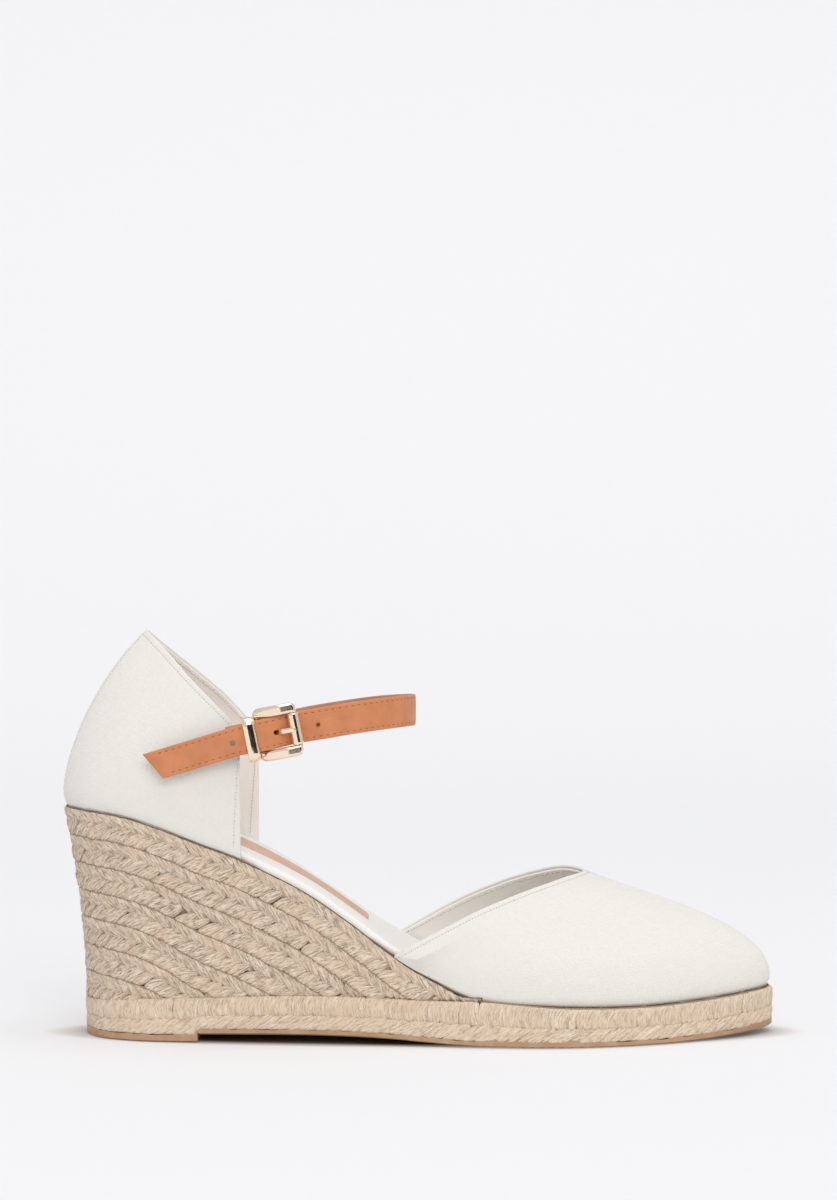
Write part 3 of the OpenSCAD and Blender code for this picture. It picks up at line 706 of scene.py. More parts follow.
@dataclass(frozen=True)
class Last:
    """Edges and surfaces of the shoe, as in the CAD model."""

    toe: float = 15.0
    wedge_end: float = 10.0
    vamp_rear: float = 8.0
    quarter_front: float = 5.0
    wall_lean: float = 1.85
    braid_rows: int = 7
    braid_width: float = 9.15
    pad_height: float = 2.7
    outsole_height: float = 1.9
    pad_end: float = 4.0
    vamp_rise: float = 20.0
    quarter_rise: float = 13.5
    feather: dict[Side, np.ndarray] = field(default_factory=lambda: {
        Side.OUTER: rows(
            (-27, 0, 77), (-20.5, -17, 76.9), (-6, -26.5, 75.2), (7, -28.6, 71.3),
            (20, -29.2, 66.3), (34, -29.5, 61), (54, -30, 51.2), (70, -31.5, 40.6),
            (85, -34, 29.4), (97, -36.6, 22.4), (113.5, -39.3, 15.4), (140, -40.2, 13.3),
            (166.5, -34, 12.8), (188, -23, 13.6), (205.5, -10.5, 15), (213, 1.5, 15.7)),
        Side.INNER: rows(
            (-27, 0, 77), (-20.5, 17, 77), (-6, 26.3, 75.4), (7, 28, 71.5),
            (20, 27.8, 66.5), (34, 27, 61.2), (54, 25.6, 51.4), (70, 26, 40.8),
            (85, 28.4, 29.6), (97, 31.3, 22.6), (113.5, 35.8, 15.5), (140, 39.2, 13.4),
            (166.5, 36, 12.8), (188, 26.5, 13.6), (205.5, 14, 15), (213, 1.5, 15.7)),
    })
    welt: dict[Side, np.ndarray] = field(default_factory=lambda: {
        Side.OUTER: rows(
            (-19.6, 0, 12.8, 2.7), (-14.3, -16, 13.3, 2.7), (-2, -24.6, 14.3, 2.7),
            (9, -27.2, 15, 2.7), (19.5, -28.3, 15.3, 2.7), (34, -29, 15.8, 2.7),
            (54, -30.4, 16.2, 2.7), (70, -32.6, 16.2, 2.5), (85, -35.6, 15.9, 2),
            (97, -38.2, 15.6, 1.2), (114, -40.8, 15.3, 0.3), (141, -41.9, 13.2, 0),
            (167.5, -35.5, 12.7, 0), (189, -24.4, 13.5, 0.5), (206.6, -11.3, 14.9, 1.8),
            (213.6, 1.5, 15.6, 2.8)),
        Side.INNER: rows(
            (-19.6, 0, 12.8, 2.7), (-14.3, 16, 13.3, 2.7), (-2, 24.4, 14.3, 2.7),
            (9, 26.8, 15, 2.7), (19.5, 27, 15.3, 2.7), (34, 26.5, 15.8, 2.7),
            (54, 25.8, 16.2, 2.7), (70, 27, 16.2, 2.5), (85, 30, 15.9, 2),
            (97, 33, 15.6, 1.2), (114, 37.4, 15.3, 0.3), (141, 40.8, 13.2, 0),
            (167.5, 37.5, 12.7, 0), (189, 27.8, 13.5, 0.5), (206.6, 14.8, 14.9, 1.8),
            (213.6, 1.5, 15.6, 2.8)),
    })
    vamp_top: dict[Side, np.ndarray] = field(default_factory=lambda: {
        Side.OUTER: rows(
            (85.6, -34.2, 30.5), (94.4, -32.6, 35.2), (104, -30, 40), (113, -27, 44.3),
            (127.2, -20, 49.4), (141.5, -9.8, 53.4), (149.2, 0, 55.1)),
        Side.INNER: rows(
            (86, 28.8, 30.7), (95.5, 29.6, 36.2), (104.5, 28.5, 41.2), (114, 25.8, 46),
            (128, 19, 51.9), (142, 9, 56), (149.2, 0, 55.1)),
    })
    vamp_fall: np.ndarray = field(default_factory=lambda: rows(
        (0, 0.35, -0.94), (0.15, 0.55, -0.82), (0.5, 0.6, -0.62), (0.82, 0.38, -0.42),
        (0.94, 0, -0.34)))
    quarter_top: dict[Side, np.ndarray] = field(default_factory=lambda: {
        Side.OUTER: rows(
            (33.6, -26.9, 101.5), (30.8, -25.6, 107.4), (24.5, -22.9, 113.9),
            (17, -18.6, 121.2), (9.1, -11.6, 129.4), (1, 0, 137)),
        Side.INNER: rows(
            (37.6, 27.4, 99.5), (33.6, 26.4, 105.8), (26.2, 24.2, 114.2),
            (17, 19.5, 122.4), (8.6, 11.4, 129.8), (1, 0, 137)),
    })
    quarter_fall: np.ndarray = field(default_factory=lambda: rows(
        (0.02, 0.12, -0.99), (-0.3, 0.45, -0.84), (-0.745, 0, -0.667)))

    def edge(self, side: Side, kind: Edge, t: np.ndarray) -> np.ndarray:
        """Points of an edge at stations t, with x, y, z and, on the welt, the sole's height."""
        lists = self.feather if kind is Edge.FEATHER else self.welt
        own, other = lists[side], lists[side.other]
        return through(np.vstack([other[1], own, other[-2]]), np.clip(t, 0, self.toe))

    def outward(self, side: Side, kind: Edge, t: np.ndarray) -> np.ndarray:
        """Unit vectors in plan that point out of the shoe at an edge."""
        step = 0.02
        ahead = self.edge(side, kind, t + step) - self.edge(side, kind, t - step)
        d = unit(ahead[..., :2])
        turned = np.stack([-d[..., 1], d[..., 0]], axis=-1)
        return side.value * turned

    def inset_edge(self, side: Side, kind: Edge, t: np.ndarray, inset: Any) -> np.ndarray:
        """An edge moved inwards in plan by a distance."""
        p = self.edge(side, kind, t).copy()
        p[..., :2] -= self.outward(side, kind, t) * np.asarray(inset, float)[..., None]
        return p

    def wall_height(self, side: Side, t: np.ndarray) -> np.ndarray:
        """Height of the wedge's wall between the welt and the feather edge."""
        top = self.edge(side, Edge.FEATHER, t)[..., 2]
        return top - self.edge(side, Edge.WELT, t)[..., 2]

    def row_drop(self, side: Side, t: np.ndarray) -> np.ndarray:
        """Depth of one braid row down the wall: more where the feather edge is steep."""
        x = self.edge(side, Edge.FEATHER, t)[..., 0]
        stretch = np.interp(x, [-27, 0, 30, 60, 97], [1, 1.02, 1.08, 1.13, 1.15])
        return self.braid_width * stretch

    def wall(self, side: Side, t: np.ndarray, f: np.ndarray) -> np.ndarray:
        """Points of the wedge's wall.

        Args:
            side: Side of the foot.
            t: Stations.
            f: Shares of the way down to the welt, as stations by levels. It may pass 1.

        Returns:
            Points, as stations by levels by 3.
        """
        top = self.edge(side, Edge.FEATHER, t)[:, None, :3]
        foot = self.edge(side, Edge.WELT, t)[:, None, :3]
        lean = 1 - (1 - np.clip(f, 0, 1)) ** self.wall_lean
        return top + (foot - top) * np.stack([lean, lean, f], axis=-1)

    def sheet_line(self, foot: np.ndarray, top: np.ndarray, lift: np.ndarray, fall: np.ndarray,
                   f: np.ndarray) -> np.ndarray:
        """Bezier curves from the feather edge up to a top edge.

        Args:
            foot: Lower ends.
            top: Upper ends.
            lift: Vectors from the lower ends to their handles.
            fall: Vectors from the upper ends to their handles.
            f: Shares of the way up.

        Returns:
            Points, as curves by shares by 3.
        """
        p0, p3 = foot[:, None], top[:, None]
        p1, p2 = (foot + lift)[:, None], (top + fall)[:, None]
        f = f[None, :, None]
        g = 1 - f
        return g**3 * p0 + 3 * g * g * f * p1 + 3 * g * f * f * p2 + f**3 * p3

    def vamp(self, side: Side, w: np.ndarray, f: np.ndarray) -> np.ndarray:
        """Outer face of the vamp: w from the rear corner (0) to the toe (1), f upwards."""
        t = self.vamp_rear + (self.toe - self.vamp_rear) * w
        foot = self.edge(side, Edge.FEATHER, t)[:, :3]
        tops = guided(self.vamp_top[side], self.vamp_top[side.other][-2])
        top = through(tops, 6 * (1 - (1 - w) ** 1.7))
        n = self.outward(side, Edge.FEATHER, t)
        fall = unit(through(guided(self.vamp_fall), 4 * w)) * [1, side.value, 1]
        reach = np.linalg.norm(top - foot, axis=1)[:, None]
        lean = (0.1 + 0.1 * rise(w, 0.8, 1))[:, None]
        lift = np.minimum(0.4 * reach, self.vamp_rise) * np.column_stack([lean * n, np.ones(len(w))])
        return self.sheet_line(foot, top, lift, 0.38 * reach * fall, f)

    def quarter(self, side: Side, w: np.ndarray, f: np.ndarray) -> np.ndarray:
        """Outer face of the quarter: w from the front edge (0) to the back seam (1)."""
        extra = 0.2 if side is Side.INNER else 0.0
        t = (self.quarter_front + extra) * (1 - w)
        foot = self.edge(side, Edge.FEATHER, t)[:, :3]
        tops = guided(self.quarter_top[side], self.quarter_top[side.other][-2])
        top = through(tops, 5 * w)
        n = self.outward(side, Edge.FEATHER, t)
        fall = unit(through(guided(self.quarter_fall), 2 * w)) * [1, side.value, 1]
        reach = np.linalg.norm(top - foot, axis=1)[:, None]
        lean = (0.05 + 0.18 * w)[:, None]
        lift = self.quarter_rise * np.column_stack([lean * n, np.ones(len(w))])
        return self.sheet_line(foot, top, lift, 0.36 * reach * fall, f)


LAST = Last()


# ---------------------------------------------------------------- jute


@dataclass
class Band:
    """Strip of surface that strands lie on.

    Its points run along the strip and, in levels, from its upper edge (0) to its lower one (1).
    """

    grid: np.ndarray
    levels: np.ndarray
    closed: bool = False

    def __post_init__(self) -> None:
        """Works out normals and lengths."""
        self.normals = normals_of(self.grid, 1.0)
        if self.closed:
            self.grid = np.concatenate([self.grid, self.grid[:1]])
            self.normals = np.concatenate([self.normals, self.normals[:1]])
        middle = self.grid[:, len(self.levels) // 2]
        self.run = lengths(middle)
        self.length = float(self.run[-1])
        across = np.linalg.norm(np.diff(self.grid, axis=1), axis=2).sum(axis=1)
        self.width = float(np.median(across)) / float(self.levels[-1] - self.levels[0])

    def at(self, s: np.ndarray, q: np.ndarray) -> tuple[np.ndarray, np.ndarray]:
        """Points and normals at lengths s along the strip and levels q.

        Args:
            s: Lengths in millimetres.
            q: Levels.

        Returns:
            Points and unit normals.
        """
        if self.closed:
            s = np.mod(s, self.length)
        i = np.interp(s, self.run, np.arange(len(self.run)))
        j = np.interp(q, self.levels, np.arange(len(self.levels)))
        i0 = np.minimum(i.astype(int), len(self.run) - 2)
        j0 = np.minimum(j.astype(int), len(self.levels) - 2)
        fi, fj = (i - i0)[..., None], (j - j0)[..., None]
        found = []
        for table in (self.grid, self.normals):
            low = table[i0, j0] * (1 - fi) + table[i0 + 1, j0] * fi
            high = table[i0, j0 + 1] * (1 - fi) + table[i0 + 1, j0 + 1] * fi
            found.append(low * (1 - fj) + high * fj)
        return found[0], unit(found[1])


@dataclass(frozen=True)
class Strand:
    """One kind of jute bundle, laid again and again along a band.

    Lengths are in millimetres. Levels go from the band's upper edge (0) to its lower one (1).
    """

    pitch: float
    start: float
    end: float
    lean: float
    half_width: float
    thickness: float
    lift: float
    sink_start: float
    sink_end: float
    bow: float = 0.0
    fibres: int = 7
    fibre_depth: float = 0.2
    twist: float = 0.8
    taper: float = 0.0
    fold: tuple[float, float] = (0.0, 1.0)
    fold_radius: float = 0.6
    jitter: float = 0.3
    steps: int = 14
    sides: int = 30
    hidden_sides: int = 6

    def lay(self, parts: Parts, band: Band, rng: np.random.Generator) -> None:
        """Lays bundles along the whole band.

        Args:
            parts: Where the faces go.
            band: The band.
            rng: Source of the small differences between bundles.
        """
        count = max(int(round(band.length / self.pitch)), 1)
        start = (np.arange(count) + 0.5) * band.length / count
        start = start + rng.normal(0, self.jitter, count)
        tau = (1 - np.cos(np.linspace(0, math.pi, self.steps)))[None] / 2

        def vary(spread: float) -> np.ndarray:
            """A random number for each bundle."""
            return rng.normal(0, spread, (count, 1))

        down = (self.start + (self.end + vary(0.03) - self.start) * tau) * band.width
        along = start[:, None] + (self.lean + vary(0.5)) * (tau - 0.5)
        along = along + (self.bow + vary(0.25)) * np.sin(math.pi * tau)
        body = np.sqrt(1 - np.abs(2 * np.clip(tau, 0.004, 0.996) - 1) ** 5)
        narrowing = 1 - self.taper * rise(tau, 0.45, 1)
        width = self.half_width * (0.3 + 0.7 * body) * narrowing * (1 + vary(0.12))
        thick = self.thickness * body * (1 + vary(0.12))
        ends = self.sink_start * (1 - rise(tau, 0, 0.3)) + self.sink_end * rise(tau, 0.55, 1)
        height = self.lift + vary(0.1) - ends
        if not band.closed:
            to_end = np.minimum(along, band.length - along)
            height = height - END_SINK * (1 - rise(to_end, 0.0, END_RUN))
        phi = np.concatenate([
            np.linspace(0, math.pi, self.sides, endpoint=False),
            np.linspace(math.pi, 2 * math.pi, self.hidden_sides, endpoint=False),
        ])
        turn = rng.uniform(0, 6.28, (count, 1, 1))
        turn = turn + (self.twist + vary(0.5))[..., None] * tau[..., None]
        wander = 0.5 * np.sin(2 * phi + rng.uniform(0, 6.28, (count, 1, 1)))
        fibre = np.abs(np.sin(self.fibres * phi + turn + wander)) - 0.64
        ridge = 1 + self.fibre_depth * fibre
        way = unit(np.stack([np.gradient(along, axis=1), np.gradient(down, axis=1)], axis=-1))
        side = width[..., None] * np.cos(phi) * ridge
        s = along[..., None] - way[..., 1:] * side
        q = (down[..., None] + way[..., :1] * side) / band.width
        if not band.closed:
            s = np.clip(s, 0, band.length)
        low, high = self.fold
        over = (np.maximum(q - high, 0) + np.maximum(low - q, 0)) * band.width
        q = np.clip(q, low, high)
        near = np.clip(1 - np.minimum(q - low, high - q) * band.width / self.fold_radius, 0, 1)
        turned = self.fold_radius * (1 - np.sqrt(1 - near**2 * 0.999)) + 0.5 * over
        up = height[..., None] + thick[..., None] * np.sin(phi) * ridge - turned
        surface, normal = band.at(s, q)
        rings = surface + normal * up[..., None]
        shift = rng.uniform(0, 400, (count, 2))
        parts.add_tubes(rings, False, 0, shift)


@dataclass(frozen=True)
class JuteWork:
    """Braid rows of the wedge, rope rows of the welt, and stray fibres."""

    seed: int = 7
    rope_split: float = 0.42
    rope_glue: float = 0.15
    backing: tuple[float, float] = (1.5, 2.2)
    upper_leg: Strand = Strand(pitch=4.3, start=-0.10, end=0.50, lean=-7.0, half_width=2.2,
                               thickness=0.8, lift=-0.6, sink_start=0.0, sink_end=0.95,
                               bow=0.5, fibres=8)
    lower_leg: Strand = Strand(pitch=4.6, start=1.10, end=0.34, lean=-9.4, half_width=1.85,
                               thickness=0.9, lift=-0.58, sink_start=0.0, sink_end=0.3,
                               bow=0.3, fibres=8, taper=0.4, twist=-0.5, jitter=0.3)
    wound: Strand = Strand(pitch=2.15, start=-0.06, end=1.06, lean=1.0, half_width=1.62,
                           thickness=0.66, lift=-0.5, sink_start=0.0, sink_end=0.2, bow=1.1,
                           fibres=4, twist=0.2, sides=16, fold=(0.0, 1.05), fold_radius=0.4,
                           jitter=0.15)
    twisted: Strand = Strand(pitch=3.5, start=1.08, end=-0.05, lean=-9.6, half_width=1.5,
                             thickness=0.72, lift=-0.58, sink_start=0.0, sink_end=0.25,
                             fibres=5, steps=18, sides=20, fold=(-0.05, 1.0), fold_radius=0.4,
                             jitter=0.2)
    twine: float = 0.3
    twine_depth: float = 0.5
    stray_count: int = 900

    def row_band(self, row: int) -> Band:
        """Band of a braid row, counted from 1 at the top. Below the welt it goes under it."""
        levels = np.linspace(-0.08, 1.08, 12)
        every = np.linspace(0, LAST.wedge_end, 201)

        def share(side: Side, t: np.ndarray) -> np.ndarray:
            """Shares of the way down the wall at each level."""
            height = np.maximum(LAST.wall_height(side, t), 0.4)[:, None]
            depth = (row - 1 + levels) * LAST.row_drop(side, t)[:, None]
            return np.maximum(depth, 0) / height

        def reach(side: Side) -> np.ndarray:
            """Stations that the row reaches on one side."""
            depth = (row - 1) * LAST.row_drop(side, every)
            kept = every[depth < LAST.wall_height(side, every) + 1.5]
            return kept if len(kept) > 3 else every[:4]

        outer, inner = reach(Side.OUTER), reach(Side.INNER)
        grid = np.concatenate([
            LAST.wall(Side.OUTER, outer, share(Side.OUTER, outer))[::-1],
            LAST.wall(Side.INNER, inner, share(Side.INNER, inner))[1:],
        ])
        past = np.concatenate([share(Side.OUTER, outer)[::-1], share(Side.INNER, inner)[1:]])
        sunk = 2.8 * rise(past, 0.985, 1.06)
        grid = grid - normals_of(grid, 1.0) * sunk[..., None]
        return Band(grid, levels)

    def rope_band(self, low: float, high: float) -> Band:
        """Band of a rope row between two shares of the height from the sole to the welt's top."""
        levels = np.linspace(-0.05, 1.05, 8)
        ends = np.concatenate([
            np.linspace(0, 1, 9)[:-1] ** 1.5, np.linspace(1, 14, 131)[:-1],
            15 - np.linspace(1, 0, 9) ** 1.5,
        ])

        def ring(side: Side, t: np.ndarray) -> np.ndarray:
            """Points down the rope's height."""
            p = LAST.edge(side, Edge.WELT, t)
            step = rise(t, LAST.pad_end - 0.04, LAST.pad_end + 0.04)
            sole = LAST.pad_height * (1 - step) + (p[:, 3] + LAST.outsole_height) * step
            share = high + (low - high) * levels
            z = sole[:, None] + (p[:, 2] - self.rope_glue - sole)[:, None] * share
            xy = np.repeat(p[:, None, :2], len(levels), axis=1)
            return np.concatenate([xy, z[..., None]], axis=2)

        outer = ring(Side.OUTER, ends)[::-1]
        inner = ring(Side.INNER, ends)
        return Band(np.concatenate([outer[:-1], inner[:-1]]), levels, closed=True)

    def back_up(self, parts: Parts, band: Band) -> None:
        """Adds the backing that closes the gaps between strands, dark with painted shade."""
        near, far = self.backing
        size = band.grid.shape[:2]
        shell(parts, band.grid, band.normals, np.full(size, near), np.full(size, far), mark=1)

    def bind(self, parts: Parts, band: Band, rng: np.random.Generator) -> None:
        """Adds the twine that joins a braid row to the next one, dark with painted shade in the
        groove between rows.

        Args:
            parts: Where the faces go.
            band: The row's band.
            rng: Source of its waver.
        """
        count = int(band.length / 1.3)
        s = np.linspace(0.5, band.length - 0.5, count)
        surface, normal = band.at(s, 1.0 + rng.normal(0, 0.008, count))
        line = surface - normal * (self.twine_depth + rng.normal(0, 0.06, count))[:, None]
        along = unit(np.gradient(line, axis=0))
        across = np.cross(normal, along)
        phi = 2 * math.pi * np.arange(8) / 8
        ring = across[:, None] * np.cos(phi)[:, None] + normal[:, None] * np.sin(phi)[:, None]
        parts.add_tubes((line[:, None] + ring * self.twine)[None], mark=1)

    def make_braids(self) -> None:
        """Makes one piece for each braid row."""
        rng = np.random.default_rng(self.seed)
        for row in range(1, LAST.braid_rows + 1):
            band = self.row_band(row)
            parts = Parts()
            self.upper_leg.lay(parts, band, rng)
            self.lower_leg.lay(parts, band, rng)
            self.back_up(parts, band)
            if row < LAST.braid_rows:
                self.bind(parts, band, rng)
            piece = parts.mesh(f"braid_row_{row}", [JUTE.made(), JUTE_SHADOW.made()])
            place_piece(piece, Body.SHOE, [f"wedge_braid_{row}"])

    def make_ropes(self) -> None:
        """Makes the wound row and the twisted row of the welt."""
        rng = np.random.default_rng(self.seed + 1)
        for name, node, strand, low, high in (
            ("wound_rope_row", "rope_welt_upper", self.wound, self.rope_split, 1.0),
            ("twisted_rope_row", "rope_welt_lower", self.twisted, 0.0, self.rope_split),
        ):
            band = self.rope_band(low, high)
            parts = Parts()
            strand.lay(parts, band, rng)
            self.back_up(parts, band)
            piece = parts.mesh(name, [WELT_JUTE.made(), JUTE_SHADOW.made()])
            place_piece(piece, Body.SHOE, [node])

    def make_strays(self) -> None:
        """Makes thin fibres that have come loose from the jute."""
        rng = np.random.default_rng(self.seed + 2)
        bands = [self.row_band(row) for row in range(1, LAST.braid_rows)]
        bands += [self.rope_band(0.0, self.rope_split), self.rope_band(self.rope_split, 1.0)]
        weights = np.array([b.length for b in bands])
        parts = Parts()
        for k, band in enumerate(bands):
            count = int(self.stray_count * weights[k] / weights.sum())
            self.scatter(parts, band, count, rng)
        piece = parts.mesh("stray_fibres", [WELT_JUTE.made()])
        place_piece(piece, Body.SHOE)

    def scatter(self, parts: Parts, band: Band, count: int, rng: np.random.Generator) -> None:
        """Adds loose fibres to one band.

        Args:
            parts: Where the faces go.
            band: The band.
            count: How many.
            rng: Source of their places and curls.
        """
        steps, sides, radius = 9, 3, 0.045
        tau = np.linspace(0, 1, steps)[None, :]
        s = rng.uniform(4, band.length - 4, (count, 1))
        q = rng.uniform(0.1, 0.8, (count, 1))
        reach = rng.uniform(-3, 3, (count, 1))
        along = s + reach * tau + 0.6 * np.sin(3 * tau + s)
        level = q + rng.uniform(-0.3, 0.3, (count, 1)) * tau
        centre, normal = band.at(along, np.clip(level, 0, 1))
        out = 0.15 + rng.uniform(0.0, 0.7, (count, 1)) * np.sin(math.pi * tau) ** 0.8
        centre = centre + normal * out[..., None]
        tangent = unit(np.gradient(centre, axis=1))
        across = unit(np.cross(normal, tangent))
        up = np.cross(tangent, across)
        phi = 2 * math.pi * np.arange(sides + 1) / (sides + 1)
        taper = (radius * (1 - 0.7 * tau))[..., None, None]
        ring = across[:, :, None] * np.cos(phi)[:, None] + up[:, :, None] * np.sin(phi)[:, None]
        parts.add_tubes(centre[:, :, None] + ring * taper, False, 0, rng.uniform(0, 90, (count, 2)))

    def make(self) -> None:
        """Makes all jute pieces."""
        self.make_braids()
        self.make_ropes()
        self.make_strays()


# ---------------------------------------------------------------- stitching


@dataclass(frozen=True)
class Stitching:
    """Row of thread stitches along a line on a surface."""

    pitch: float = 2.3
    length: float = 1.7
    radius: float = 0.2
    proud: float = 0.04
    pit: float = 0.2
    steps: int = 7
    sides: int = 8

    def sew(self, parts: Parts, line: np.ndarray, normals: np.ndarray) -> None:
        """Adds the stitches.

        Args:
            parts: Where the faces go.
            line: Points of the line.
            normals: Outward normals of the surface at those points.
        """
        run = lengths(line)
        count = int(run[-1] // self.pitch)
        middle = (np.arange(count) + 0.5) * run[-1] / count
        tau = np.linspace(-0.5, 0.5, self.steps)
        s = middle[:, None] + tau * self.length
        centre = np.stack([np.interp(s, run, line[:, k]) for k in range(3)], axis=-1)
        normal = unit(np.stack([np.interp(s, run, normals[:, k]) for k in range(3)], axis=-1))
        tangent = unit(np.gradient(centre, axis=1))
        across = unit(np.cross(normal, tangent))
        arch = np.cos(math.pi * tau)
        centre = centre + normal * (self.proud - 0.9 * self.radius * (1 - arch))[None, :, None]
        phi = 2 * math.pi * np.arange(self.sides) / self.sides
        size = (self.radius * (0.35 + 0.65 * np.sqrt(arch + 1e-6)))[None, :, None, None]
        ring = across[:, :, None] * np.cos(phi)[:, None] + normal[:, :, None] * np.sin(phi)[:, None]
        parts.add_tubes(centre[:, :, None] + ring * size)
        self.prick(parts, line, normals, middle + self.pitch / 2, phi)

    def prick(self, parts: Parts, line: np.ndarray, normals: np.ndarray, places: np.ndarray,
              phi: np.ndarray) -> None:
        """Adds the needle holes between stitches as small plugs level with the surface, dark with
        painted shade.

        Args:
            parts: Where the faces go.
            line: Points of the seam.
            normals: Outward normals at those points.
            places: Lengths along the seam at which the holes lie.
            phi: Angles of the points round a hole.
        """
        run = lengths(line)
        spot = np.stack([np.interp(places, run, line[:, k]) for k in range(3)], axis=-1)
        ahead = np.stack([np.interp(places + 0.3, run, line[:, k]) for k in range(3)], axis=-1)
        back = np.stack([np.interp(places - 0.3, run, line[:, k]) for k in range(3)], axis=-1)
        normal = unit(np.stack([np.interp(places, run, normals[:, k]) for k in range(3)], axis=-1))
        along = unit(ahead - back)
        across = np.cross(normal, along)
        disc = along[:, None] * np.cos(phi)[:, None] + across[:, None] * np.sin(phi)[:, None]
        heights = np.array([-0.2, 0.035])[None, :, None, None]
        rings = spot[:, None, None] + disc[:, None] * self.pit + normal[:, None, None] * heights
        parts.add_tubes(rings, mark=1)


# ---------------------------------------------------------------- upper


@dataclass(frozen=True)
class EdgeWork:
    """How a folded and sewn edge of a sheet looks."""

    seam: float = 2.0
    groove: float = 0.10
    groove_half: float = 0.55

    def depth(self, distance: np.ndarray) -> np.ndarray:
        """Depth that the seam pulls the outer face in by, at a distance from the edge."""
        return self.groove * np.exp(-(((distance - self.seam) / self.groove_half) ** 2))


